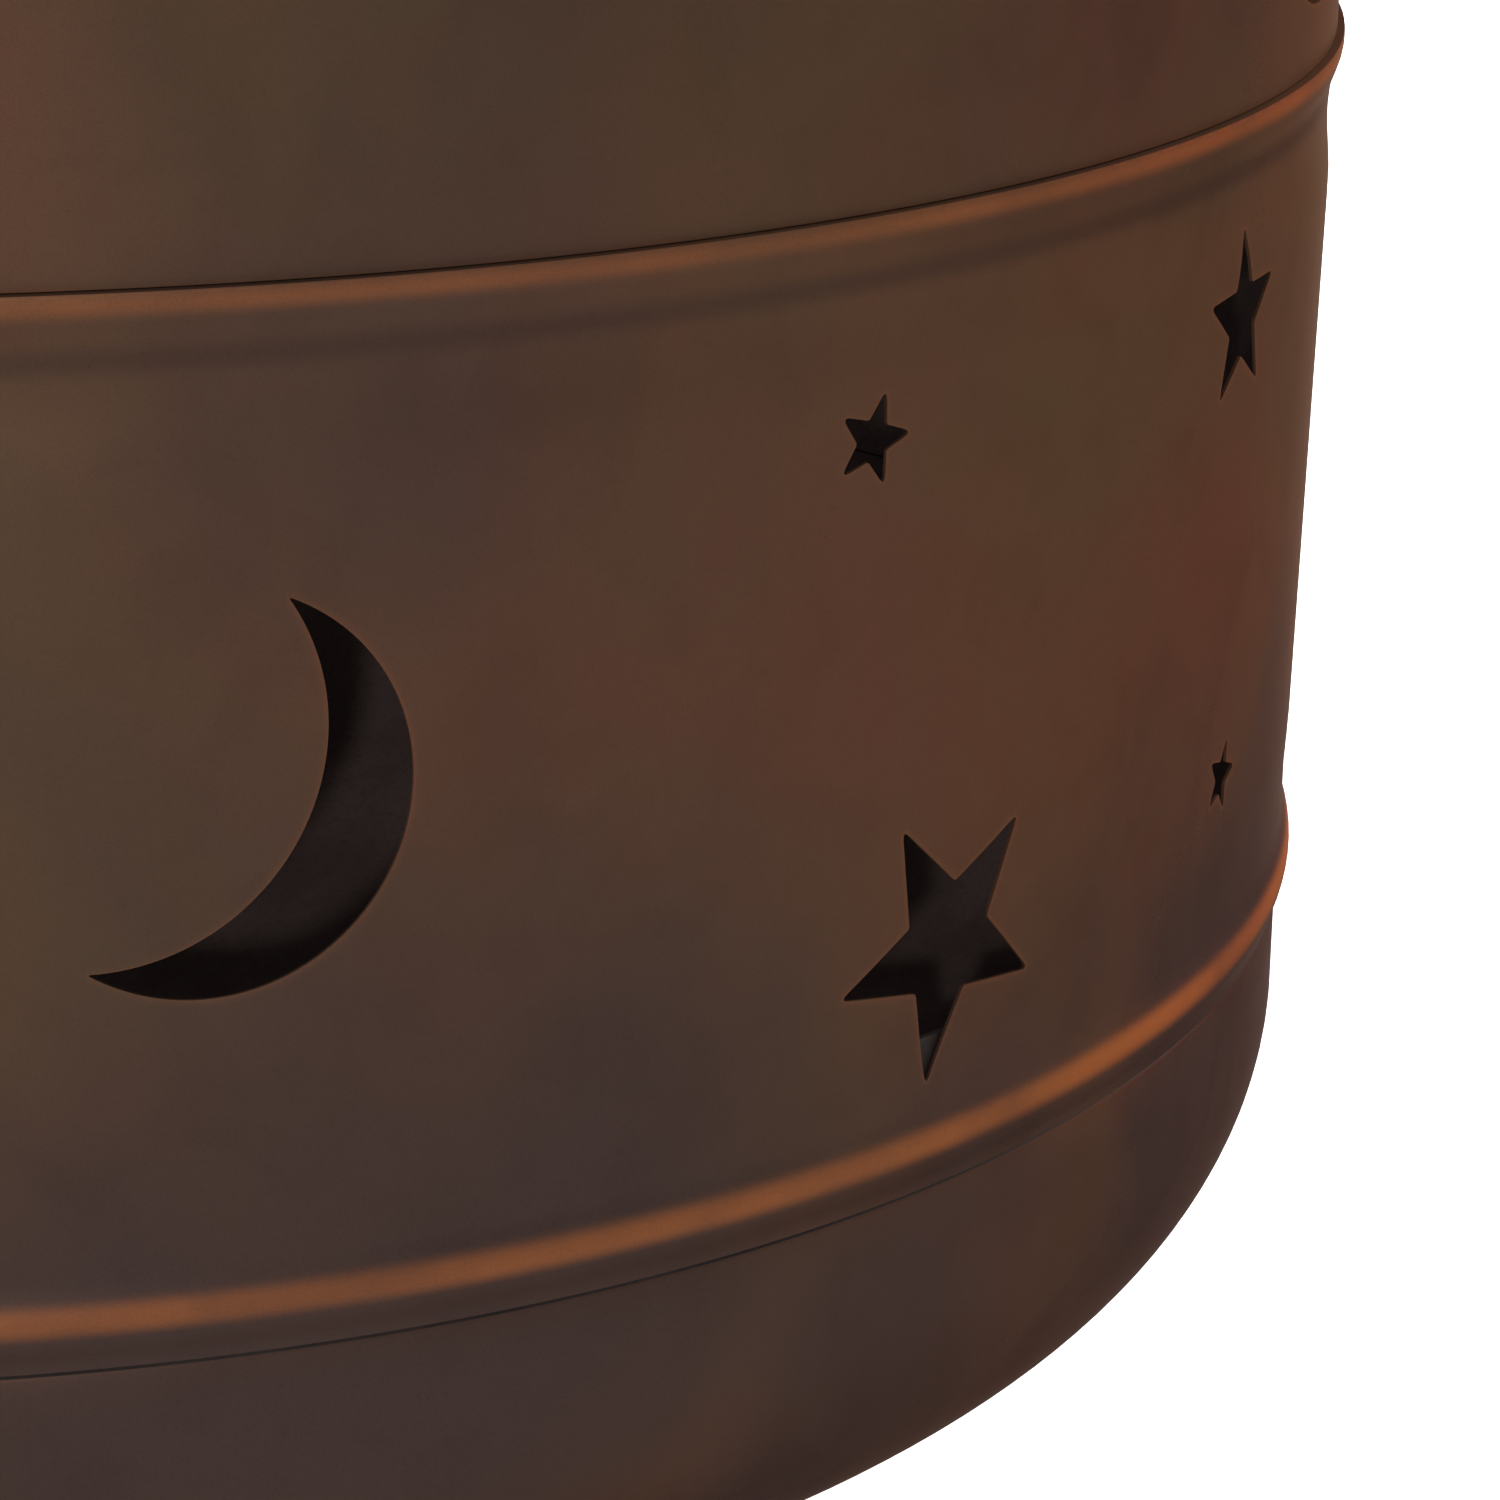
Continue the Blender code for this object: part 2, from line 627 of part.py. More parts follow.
# ---- The door ----
def door_grid(half_angle, half_height, edge):
    """Azimuths and heights of a framed curved sheet: one cell of edge all around."""
    azimuths = [-half_angle] + spread(-WINDOW_ANGLE, WINDOW_ANGLE, DOOR_COLUMNS) + [half_angle]
    inner = half_height - edge
    heights = [MOUTH_MIDDLE + h for h in (-half_height, -inner, inner, half_height)]
    return azimuths, heights


def is_border(column, row):
    """Whether a cell of a door grid belongs to its frame."""
    return row != 1 or column in (0, DOOR_COLUMNS + 1)


def make_door_frame():
    """The curved frame of the door, with its two hinge knuckles."""
    half_height = MOUTH_HALF_HEIGHT + DOOR_LAP
    azimuths, heights = door_grid(FRAME_ANGLE, half_height, DOOR_EDGE)
    bm = curved_sheet(azimuths, heights, is_border, FRAME_RADII)
    frame = add_object("door_frame", bm, PATINA)
    inside = FRAME_RADII[0]
    for name, side in (("lower", -1), ("upper", 1)):
        base = MOUTH_MIDDLE + side * HINGE_OFFSET
        place = wall_frame(HINGE_AZIMUTH, 0.0, base)
        leaf = block((0.0, 0.0, inside), (LEAF_LENGTH, BARREL_HEIGHT, inside + LEAF_SHEET))
        boolean(frame, add_cutter(f"door_leaf_{name}", leaf, place), "UNION")
        barrel = prism(circle(BARREL_RADIUS, 12), base, base + BARREL_HEIGHT)
        boolean(frame, add_cutter(f"door_barrel_{name}", barrel, hinge_frame()), "UNION")
    return frame


def hinge_frame():
    """A frame on the door's hinge axis, at ground height."""
    return Matrix.Translation(outward(HINGE_AZIMUTH) * HINGE_RADIUS)


def make_door_mesh():
    """The spark screen of the door as a coarse lattice."""
    edge = RETAINER_ANGLE - WINDOW_ANGLE
    azimuths = lattice_lines(-RETAINER_ANGLE, RETAINER_ANGLE, SCREEN_COLUMNS, SCREEN_BAR, edge)
    half_height = MOUTH_HALF_HEIGHT - RETAINER_INSET
    lines = lattice_lines(-half_height, half_height, SCREEN_ROWS, SCREEN_RUNG, RETAINER_EDGE)
    heights = [MOUTH_MIDDLE + h for h in lines]

    def is_wire(column, row):
        return column % 2 == 0 or row % 2 == 0

    bm = curved_sheet(azimuths, heights, is_wire, MESH_RADII)
    return add_object("door_mesh", bm, DARK_STEEL)


def lattice_lines(low, high, holes, bar, edge):
    """Lines that bound a row of holes: an edge, then hole, bar, hole and so on to an edge."""
    hole = (high - low - 2 * edge - (holes - 1) * bar) / holes
    lines = [low]
    place = low + edge
    for _ in range(holes):
        lines += [place, place + hole]
        place += hole + bar
    return lines + [high]


def make_door_retainer():
    """The inner frame that clamps the mesh."""
    half_height = MOUTH_HALF_HEIGHT - RETAINER_INSET
    azimuths, heights = door_grid(RETAINER_ANGLE, half_height, RETAINER_EDGE)
    bm = curved_sheet(azimuths, heights, is_border, RETAINER_RADII)
    return add_object("door_retainer", bm, DARK_STEEL)


def make_door_fasteners(pieces):
    """Screws from inside into the handle, and rivets on the hinge side."""
    tools = bmesh.new()
    inside = RETAINER_RADII[0] - GAP
    outside = FRAME_RADII[1] + GAP
    flip = Matrix.Rotation(math.pi, 4, "X")
    for name, side in (("lower", -1), ("upper", 1)):
        height = MOUTH_MIDDLE + side * CLAMP_HALF_SPAN
        for azimuth in (CLAMP_AZIMUTH, -CLAMP_AZIMUTH):
            place = wall_frame(azimuth, inside, height)
            merge_into(tools, prism(circle(SCREW_RADIUS, 8), -0.003, 0.012), place)
        inner_place = wall_frame(CLAMP_AZIMUTH, inside, height) @ flip
        screw(f"handle_screw_{name}", inner_place, CLAMP_SCREW_LENGTH)
        outer_place = wall_frame(-CLAMP_AZIMUTH, outside, height)
        rivet(f"door_rivet_{name}", 0.0034, outside - inside, BRIGHT_STEEL, outer_place)
    tool = add_cutter("door_clamp_holes", tools)
    for piece in pieces:
        boolean(piece, tool, "DIFFERENCE")


def swept_rod(route, radius):
    """A round rod along a route of points, with flat ends."""
    curve = bpy.data.curves.new("rod", "CURVE")
    curve.dimensions = "3D"
    curve.bevel_depth = radius
    curve.bevel_resolution = 1
    curve.use_fill_caps = True
    spline = curve.splines.new("POLY")
    spline.points.add(len(route) - 1)
    for point, place in zip(spline.points, route):
        point.co = (*place, 1.0)
    guide = bpy.data.objects.new("rod", curve)
    mesh = bpy.data.meshes.new_from_object(guide)
    bm = bmesh.new()
    bm.from_mesh(mesh)
    bmesh.ops.remove_doubles(bm, verts=bm.verts, dist=1e-6)
    bpy.data.objects.remove(guide)
    bpy.data.meshes.remove(mesh)
    return bm


def make_handle():
    """A bent rod handle, tapped at both ends, with a coil grip around its upright."""
    foot = FRAME_RADII[1] + GAP
    out = foot + HANDLE_REACH
    bend = out - HANDLE_CORNER
    route = [(foot, -CLAMP_HALF_SPAN)]
    for angle in spread(-90.0, 0.0, 4):
        a = math.radians(angle)
        route.append((bend + HANDLE_CORNER * math.cos(a),
                      -CLAMP_HALF_SPAN + HANDLE_CORNER * (1 + math.sin(a))))
    route += [(x, -z) for x, z in reversed(route)]
    place = radial_frame(CLAMP_AZIMUTH) @ Matrix.Translation((0, 0, MOUTH_MIDDLE))
    bm = swept_rod([(x, 0.0, z) for x, z in route], HANDLE_ROD)
    handle = add_object("door_handle", bm, DARK_STEEL, place)
    tools = bmesh.new()
    for side in (-1, 1):
        end = wall_frame(CLAMP_AZIMUTH, foot, MOUTH_MIDDLE + side * CLAMP_HALF_SPAN)
        merge_into(tools, prism(circle(SCREW_RADIUS, 8), -0.001, 0.0085), end)
    boolean(handle, add_cutter("handle_bores", tools), "DIFFERENCE")

    inner = HANDLE_ROD + GAP
    sleeve = [(inner, -GRIP_HALF_LENGTH), (GRIP_RADIUS, -GRIP_HALF_LENGTH)]
    sleeve += [(GRIP_RADIUS, GRIP_HALF_LENGTH), (inner, GRIP_HALF_LENGTH)]
    upright_frame = place @ Matrix.Translation((out, 0, 0))
    add_object("handle_grip", lathe(sleeve, 12), BRIGHT_STEEL, upright_frame)


# ---- Hinges ----
def make_hinges(door_frame):
    """Two brackets on the firebox and the pins that the door turns on."""
    back = SHELL_RADIUS + GAP
    for name, side in (("lower", -1), ("upper", 1)):
        door_base = MOUTH_MIDDLE + side * HINGE_OFFSET
        top = door_base - BARREL_GAP
        base = top - BARREL_HEIGHT
        plate = curved_sheet(BRACKET_AZIMUTHS, [base, top], lambda column, row: True,
                             (back, back + BRACKET_SHEET))
        bracket = add_object(f"hinge_bracket_{name}", plate, DARK_STEEL)
        arm = block((-0.010, 0.0, 0.2824), (-0.001, BARREL_HEIGHT, 0.2880))
        arm_tool = add_cutter(f"bracket_arm_{name}", arm, wall_frame(HINGE_AZIMUTH, 0.0, base))
        boolean(bracket, arm_tool, "UNION")
        barrel = prism(circle(BARREL_RADIUS, 12), base, top)
        boolean(bracket, add_cutter(f"bracket_barrel_{name}", barrel, hinge_frame()), "UNION")
        bore = prism(circle(PIN_RADIUS + GAP, 12), base - 0.004, door_base + BARREL_HEIGHT + 0.004)
        tool = add_cutter(f"hinge_bore_{name}", bore, hinge_frame())
        boolean(bracket, tool, "DIFFERENCE")
        boolean(door_frame, tool, "DIFFERENCE")
        make_hinge_pin(f"hinge_pin_{name}", base, door_base + BARREL_HEIGHT + GAP)


def make_hinge_pin(name, low, head):
    """A pin with its domed head on the door's barrel and its point below the bracket."""
    outline = [(0.0, head + 0.0022), (PIN_HEAD_RADIUS * 0.7, head + 0.0020)]
    outline += [(PIN_HEAD_RADIUS, head + 0.0010), (PIN_HEAD_RADIUS, head), (PIN_RADIUS, head)]
    outline += [(PIN_RADIUS, low - 0.0015), (PIN_RADIUS * 0.7, low - 0.0025), (0.0, low - 0.0025)]
    add_object(name, lathe(outline, 12, closed=False), BRIGHT_STEEL, hinge_frame())


# ---- The latch ----
def latch_frame():
    """A frame on the latch's pivot, on the outside of the door frame."""
    return wall_frame(LATCH_AZIMUTH, FRAME_RADII[1], MOUTH_MIDDLE + LATCH_DROP)


def make_latch(door_frame):
    """A lever that turns on the door and drops behind a keeper on the firebox."""
    half = LATCH_WIDTH / 2
    shoulder = LATCH_LENGTH - 0.004
    outline = []
    for angle in spread(180.0, 360.0, 6):
        a = math.radians(angle)
        outline.append((half * math.cos(a), half * math.sin(a)))
    outline += [(half * 0.8, shoulder), (half * 0.3, LATCH_LENGTH)]
    outline += [(-half * 0.8, LATCH_LENGTH), (-half, shoulder)]
    blank = prism(outline, LATCH_LIFT, LATCH_LIFT + LATCH_SHEET)
    lever = add_object("latch_lever", blank, DARK_STEEL, latch_frame())
    hole = prism(circle(LATCH_BORE, 10), -0.004, 0.006)
    bore = add_cutter("latch_bore", hole, latch_frame())
    boolean(lever, bore, "DIFFERENCE")
    boolean(door_frame, bore, "DIFFERENCE")

    head = 2 * LATCH_LIFT + LATCH_SHEET
    shank = LATCH_BORE - LATCH_LIFT
    tail = FRAME_RADII[0] - FRAME_RADII[1] - 0.0002
    pin = [(0.0, head + 0.0016), (0.0028, head + 0.0012), (0.0042, head), (shank, head)]
    pin += [(shank, tail), (0.0, tail)]
    add_object("latch_pin", lathe(pin, 10, closed=False), BRIGHT_STEEL, latch_frame())


def make_keeper():
    """The hook on the firebox that the latch drops into, seen from its side as one strip."""
    reach = LATCH_LENGTH - 0.006
    azimuth = LATCH_AZIMUTH + math.degrees(math.atan2(reach, FRAME_RADII[1]))
    floor = MOUTH_MIDDLE + LATCH_DROP - LATCH_WIDTH / 2 - 2 * GAP
    back = SHELL_RADIUS + GAP
    front = back + KEEPER_SHEET
    lever_face = FRAME_RADII[1] + LATCH_LIFT + LATCH_SHEET
    lip = math.hypot(lever_face, reach) + 0.0014
    low = floor - KEEPER_SHEET
    hook = [(back, floor - 0.012), (front, floor - 0.012), (front, low)]
    hook += [(lip + KEEPER_SHEET, low), (lip + KEEPER_SHEET, floor + 0.006)]
    hook += [(lip, floor + 0.006), (lip, floor), (front, floor)]
    hook += [(front, floor + 0.014), (back, floor + 0.014)]
    add_object("latch_keeper", upright(hook, KEEPER_WIDTH), DARK_STEEL, radial_frame(azimuth))


# ---- The stand ----
def bezier(start, start_pull, end_pull, end, count):
    """Points along a cubic curve, without its first one."""
    corners = (start, start_pull, end_pull, end)
    points = []
    for t in spread(0.0, 1.0, count)[1:]:
        s = 1 - t
        weights = (s ** 3, 3 * s * s * t, 3 * s * t * t, t ** 3)
        points.append(tuple(sum(w * c[i] for w, c in zip(weights, corners)) for i in (0, 1)))
    return points


def leg_middle():
    """The middle line of a leg in (radius, height), from its pad under the bowl to its toe."""
    slope = dish_slope(LEG_BOLT_RADIUS)
    along = Vector((math.cos(slope), math.sin(slope)))
    away = Vector((math.sin(slope), -math.cos(slope)))
    seat = Vector((LEG_BOLT_RADIUS, dish_height(LEG_BOLT_RADIUS))) + away * (GAP + LEG_SHEET / 2)
    start = seat - along * 0.018
    bend = seat + along * 0.014
    knee = (KNEE_RADIUS, BRACE_HEIGHT)
    toe = (FOOT_CIRCLE - 0.016, FOOT_HEIGHT + GAP + LEG_SHEET / 2)
    middle = [tuple(start), tuple(bend)]
    middle += bezier(tuple(bend), tuple(bend + along * 0.022), (KNEE_RADIUS, 0.205), knee, 8)
    middle += bezier(knee, (KNEE_RADIUS, 0.085), (toe[0] - 0.035, toe[1]), toe, 10)
    middle.append((FOOT_CIRCLE + 0.014, toe[1]))
    return middle


def bolt_frame(azimuth):
    """A frame on the bowl's outer side at a leg bolt, with local Z into the bowl."""
    slope = dish_slope(LEG_BOLT_RADIUS)
    place = Matrix.Translation((LEG_BOLT_RADIUS, 0, dish_height(LEG_BOLT_RADIUS)))
    return radial_frame(azimuth) @ place @ Matrix.Rotation(-slope, 4, "Y")


def make_stand(bowl):
    """Four legs with their bolts and foot pads, and the ring that braces them."""
    outline = ribbon(leg_middle(), LEG_SHEET)
    hole_tools = bmesh.new()
    for azimuth in LEG_AZIMUTHS.values():
        merge_into(hole_tools, prism(circle(LEG_BOLT_HOLE, 10), -0.012, 0.006), bolt_frame(azimuth))
    holes = add_cutter("leg_bolt_holes", hole_tools)
    boolean(bowl, holes, "DIFFERENCE")
    for name, azimuth in LEG_AZIMUTHS.items():
        bm = upright(outline, LEG_WIDTH)
        leg = add_object(f"leg_{name}", bm, PATINA, radial_frame(azimuth))
        boolean(leg, holes, "DIFFERENCE")
        make_leg_bolt(name, bolt_frame(azimuth))
        pad = [(0.0, 0.0), (FOOT_RADIUS - 0.0015, 0.0), (FOOT_RADIUS, 0.0015)]
        pad += [(FOOT_RADIUS, FOOT_HEIGHT), (0.0, FOOT_HEIGHT)]
        foot = Matrix.Translation(outward(azimuth) * FOOT_CIRCLE)
        add_object(f"foot_pad_{name}", lathe(pad, 16, closed=False), RUBBER, foot)
    ring_radius = KNEE_RADIUS - LEG_SHEET / 2 - GAP - BRACE_ROD
    ring = circle(BRACE_ROD, 6, (ring_radius, BRACE_HEIGHT))
    add_object("brace_ring", lathe(ring, BODY_SIDES), PATINA)


def make_leg_bolt(name, place):
    """A domed bolt through the bowl and a leg, and the nut under them."""
    under = -(GAP + LEG_SHEET)
    end = under - 0.0098
    head = SHEET + 2.5 * GAP
    shank = LEG_BOLT_HOLE - GAP
    bolt = [(0.0, head + 0.0034), (0.0040, head + 0.0028), (0.0068, head + 0.0006)]
    bolt += [(0.0068, head), (shank, head), (shank, end + 0.0008), (shank * 0.8, end), (0.0, end)]
    add_object(f"leg_bolt_{name}", lathe(bolt, 10, closed=False), DARK_STEEL, place)
    blank = prism(circle(0.0062, 6), under - GAP - 0.0055, under - GAP)
    nut = add_object(f"leg_nut_{name}", blank, DARK_STEEL, place)
    bore = prism(circle(LEG_BOLT_HOLE, 10), -0.020, 0.0)
    boolean(nut, add_cutter(f"nut_bore_{name}", bore, place), "DIFFERENCE")


def make_grate():
    """A ring that lies in the bowl, with rods across it for the logs."""
    slope = dish_slope(GRATE_RADIUS)
    height = dish_height(GRATE_RADIUS) + (SHEET + GRATE_ROD + 2 * GAP) / math.cos(slope)
    ring = lathe(circle(GRATE_ROD, 6, (GRATE_RADIUS, height)), 24)
    grate = add_object("log_grate", ring, IRON)
    rods = bmesh.new()
    rod_height = height + GRATE_ROD + 0.0015
    pitch = 2 * GRATE_RADIUS / (GRATE_BARS + 1)
    for k in range(GRATE_BARS):
        y = -GRATE_RADIUS + pitch * (k + 1)
        half = math.sqrt((GRATE_RADIUS + 0.002) ** 2 - y ** 2)
        rod = prism(circle(GRATE_ROD, 6), -half, half)
        turn = Matrix.Translation((0, y, rod_height)) @ Matrix.Rotation(math.pi / 2, 4, "Y")
        merge_into(rods, rod, turn)
    boolean(grate, add_cutter("grate_rods", rods), "UNION")


# ---- Assembly ----
for old in list(bpy.data.objects):
    bpy.data.objects.remove(old)

PATINA = material("copper_patina", (0.075, 0.045, 0.030), 0.48, 0.35)
DARK_STEEL = material("dark_steel", (0.030, 0.026, 0.024), 0.55, 0.40)
BRIGHT_STEEL = material("zinc_steel", (0.30, 0.28, 0.26), 0.38, 0.90)
IRON = material("grate_iron", (0.020, 0.018, 0.017), 0.70, 0.30)
RUBBER = material("foot_rubber", (0.015, 0.015, 0.015), 0.80, 0.0)
GUIDE = material("guide", (0.5, 0.5, 0.5), 0.5, 0.0)

fire_bowl = make_bowl()
pierced_band = make_band()
firebox_shell = make_shell()
hood = make_hood()
make_pipe("chimney_lower", LOWER_PIPE_Z, LOWER_PIPE, with_neck=True)
make_pipe("chimney_upper", UPPER_PIPE_Z, UPPER_PIPE, with_neck=False)
make_cap_mounting(make_cap())
join_rings("bowl_screw", SCREW_AZIMUTHS, SEAM_Z + BOWL_SCREW_HEIGHT,
           band_radius(BOWL_SCREW_HEIGHT), [fire_bowl, pierced_band])
join_rings("band_screw", SCREW_AZIMUTHS, SHELL_Z + RING_SCREW_HEIGHT,
           SHELL_RADIUS, [pierced_band, firebox_shell])
join_rings("hood_screw", HOOD_SCREW_AZIMUTHS, HOOD_Z + RING_SCREW_HEIGHT,
           SHELL_RADIUS, [firebox_shell, hood])
door_frame = make_door_frame()
make_door_fasteners([door_frame, make_door_mesh(), make_door_retainer()])
make_handle()
make_hinges(door_frame)
make_latch(door_frame)
make_keeper()
make_stand(fire_bowl)
make_grate()
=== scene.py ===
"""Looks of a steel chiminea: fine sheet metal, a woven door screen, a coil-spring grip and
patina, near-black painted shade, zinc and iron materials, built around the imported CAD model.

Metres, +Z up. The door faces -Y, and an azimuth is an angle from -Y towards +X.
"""
import json
import math

import bmesh
import bpy
import numpy as np
from mathutils import Matrix, Vector
from mathutils.geometry import delaunay_2d_cdt


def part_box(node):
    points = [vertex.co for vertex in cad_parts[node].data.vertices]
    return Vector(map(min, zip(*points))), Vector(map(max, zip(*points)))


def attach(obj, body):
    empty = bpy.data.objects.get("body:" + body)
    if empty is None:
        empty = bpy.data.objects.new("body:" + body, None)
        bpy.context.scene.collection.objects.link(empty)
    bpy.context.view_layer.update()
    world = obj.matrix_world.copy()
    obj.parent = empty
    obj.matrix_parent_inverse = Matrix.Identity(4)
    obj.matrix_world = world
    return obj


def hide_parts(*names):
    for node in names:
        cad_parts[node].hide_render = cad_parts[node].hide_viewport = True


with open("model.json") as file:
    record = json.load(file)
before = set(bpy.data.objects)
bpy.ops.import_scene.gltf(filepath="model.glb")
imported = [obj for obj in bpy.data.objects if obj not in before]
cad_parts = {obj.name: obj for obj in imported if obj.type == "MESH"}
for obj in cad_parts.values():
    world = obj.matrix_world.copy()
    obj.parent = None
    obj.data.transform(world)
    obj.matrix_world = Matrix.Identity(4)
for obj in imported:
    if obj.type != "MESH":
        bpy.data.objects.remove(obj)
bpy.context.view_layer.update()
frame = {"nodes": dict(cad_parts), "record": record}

# ---- Levels, from the frame ----
SEAM_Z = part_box("pierced_band")[0].z
SHELL_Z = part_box("firebox_shell")[0].z
HOOD_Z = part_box("hood")[0].z
LOWER_PIPE_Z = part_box("chimney_lower")[0].z
UPPER_PIPE_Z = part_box("chimney_upper")[0].z
PIPE_TOP_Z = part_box("chimney_upper")[1].z
CAP_LOW_Z, CAP_HIGH_Z = (corner.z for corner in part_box("rain_cap"))
HOOD_TOP_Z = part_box("hood")[1].z
DOOR_LOW_Z, DOOR_HIGH_Z = (corner.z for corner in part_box("door_frame"))
DOOR_MIDDLE_Z = (DOOR_LOW_Z + DOOR_HIGH_Z) / 2
BAND_HEIGHT = SHELL_Z - SEAM_Z
SHELL_HEIGHT = HOOD_Z - SHELL_Z

# ---- Sheet metal ----
SHEET = 0.0009
SHOULDER = 0.0003           # from a ring's top bead up to the next ring's lower edge
CUT_SHEET = 0.0006          # the band, thinner than its CAD so that its cut edges stay fine
GAP = 0.0003
BODY_RADIUS = 0.280         # the band at half its height
BODY_TAPER = 0.0202
SHELL_RADIUS = 0.28135
NECK_HEIGHT = 0.012
BOWL_RADIUS = 0.2779
BOWL_NECK_HEIGHT = 0.027
BOWL_RIM_DEPTH = 0.0216
KNUCKLE_RADIUS = 0.055
KNUCKLE_ANGLE = 66.0
HOOD_SKIRT = 0.012
COLLAR_HEIGHT = 0.022
PIPE_RADIUS = 0.0799
COLLAR_RADIUS = PIPE_RADIUS - SHEET - GAP
PIPE_BEAD = 0.0012
TOP_PIPE_BEAD = 0.0006
PIPE_SIDES = 144
CAP_LIP = 0.006
CAP_ROLL = 0.0022           # radius of the cap's rolled rim
BODY_SIDES = 240

# ---- Cut-outs: kind, azimuth, height above the ring's lower edge, radius, tilt ----
INNER_STAR = 0.41
BAND_GROUPS = 5
BAND_START = -26.0
BAND_GROUP = (
    ("moon", -16.5, 0.0933, 0.0330, 0.0),
    ("star", 7.4, 0.1350, 0.0087, -17.0),
    ("star", 30.7, 0.1345, 0.0169, 1.1),
    ("star", 12.0, 0.0442, 0.0258, 28.2),
    ("star", 31.8, 0.0474, 0.0079, -16.1),
)
SHELL_GROUPS = 4
SHELL_STEP = 71.0
SHELL_START = 29.5
SHELL_GROUP = (
    ("moon", 39.4, 0.0448, 0.0330, 0.0),
    ("star", 50.5, 0.1150, 0.0087, 12.0),
    ("star", 66.0, 0.0620, 0.0258, 20.0),
    ("star", 90.0, 0.1100, 0.0169, 8.0),
    ("star", 46.0, 0.1900, 0.0258, 4.0),
    ("star", 72.5, 0.1680, 0.0169, 30.0),
    ("star", 92.0, 0.2150, 0.0087, 16.0),
)
MOON_BITE_RADIUS = 1.125
MOON_BITE_SHIFT = (-0.538, 0.295)
TIP_ROUND = 0.0008
DOOR_TIP_ROUND = 0.0001
OUTLINE_STEP = 0.0016
RUB_REACH = 0.0020          # the rubbed rim around a cut-out

# ---- Door ----
MOUTH_HALF_WIDTH = 0.1276
MOUTH_HALF_HEIGHT = 0.095
MOUTH_CORNER = 0.005
DOOR_CORNER = 0.006
DOOR_EDGE = 0.026           # height of the frame's top and bottom bars
WINDOW_CORNER = 0.010
RETAINER_CORNER = 0.004
RETAINER_EDGE = 0.0105
RETAINER_WINDOW_CORNER = 0.008
FRAME_ANGLE = 29.5
WINDOW_ANGLE = 24.3
RETAINER_ANGLE = 26.2
FRAME_RADII = (0.2839, 0.2851)
RETAINER_RADII = (0.2806, 0.2817)
MESH_RADIUS = 0.2827
WIRE_RADIUS = 0.00042
WIRE_PITCH = 0.0052
SCREEN_INSET = 0.003        # from the retainer's edge to the screen's
SCREEN_INSET_ANGLE = 0.6
CLAMP_AZIMUTH = 25.25
HINGE_AZIMUTH = -32.0
BARREL_GAP = 0.0005
BARREL_HEIGHT = 0.014
BARREL_RADIUS = 0.0045
BARREL_BORE = 0.0025
BARREL_CHAMFER = 0.0005
LEAF_LENGTH = 0.020
LEAF_SHEET = 0.0022
HANDLE_ROD = 0.0035
HANDLE_CORNER = 0.010
GRIP_RADIUS = 0.0065
GRIP_WIRE = 0.00115
GRIP_PITCH = 2.12           # wire radii from one turn of the grip to the next

# ---- Stand, grate and screws ----
CORNERS = ("front_right", "rear_right", "rear_left", "front_left")
GRATE_ROD = 0.004
GRATE_BARS = 7
BAR_OVERLAP = 0.002         # the grate's bars reach past the middle of its ring
HEAD_HEIGHT = 0.0020
HEAD_SIDES = 32

# ---- The camera, placed about the turning axis ----
CAMERA_AZIMUTH = -25.0
CAMERA_DISTANCE = 0.99045
CAMERA_HEIGHT = 0.6655
CAMERA_YAW = 0.17282
CAMERA_PITCH = 0.31775
CAMERA_ROLL = 0.01712
CAMERA_LENS = 119.79
CAMERA_SENSOR = 36.0

# ---- Lights ----
LIGHT_DISTANCE = 3.0
LIGHT_HEIGHT = 1.6
LIGHT_AIM = Vector((0, 0, 0.6))
FRONT_LIGHT_OFFSET = (0.0144, 0.0216)   # left of the lens and below it
FRONT_LIGHT_POWER = 9.5
FRONT_LIGHT_RADIUS = 0.006
FRONT_LIGHT_ANGLE = 34.0
FRONT_LIGHT_AZIMUTH = -17.0             # of the place on the band that it is aimed at
FRONT_LIGHT_RISE = 0.09
FLOOR_REACH = 30.0
SURROUND_STRENGTH = 0.75


# ---- Places ----
def outward(azimuth):
    """The unit vector that points away from the axis at an azimuth."""
    a = math.radians(azimuth)
    return Vector((math.sin(a), -math.cos(a), 0.0))


def spread(low, high, count):
    """Evenly spaced values from low to high, count + 1 of them."""
    return [low + (high - low) * k / count for k in range(count + 1)]


def bump(distance, half_width):
    """A smooth rise from 0 at the half width to 1 in the middle."""
    t = min(abs(distance) / half_width, 1.0)
    return 0.5 * (1 + math.cos(math.pi * t))


def aim(obj, place, forward, up):
    """Put an object somewhere and turn its local -Z along forward."""
    forward = forward.normalized()
    right = forward.cross(up).normalized()
    turn = Matrix((right, right.cross(forward), -forward)).transposed().to_4x4()
    obj.matrix_world = Matrix.Translation(place) @ turn


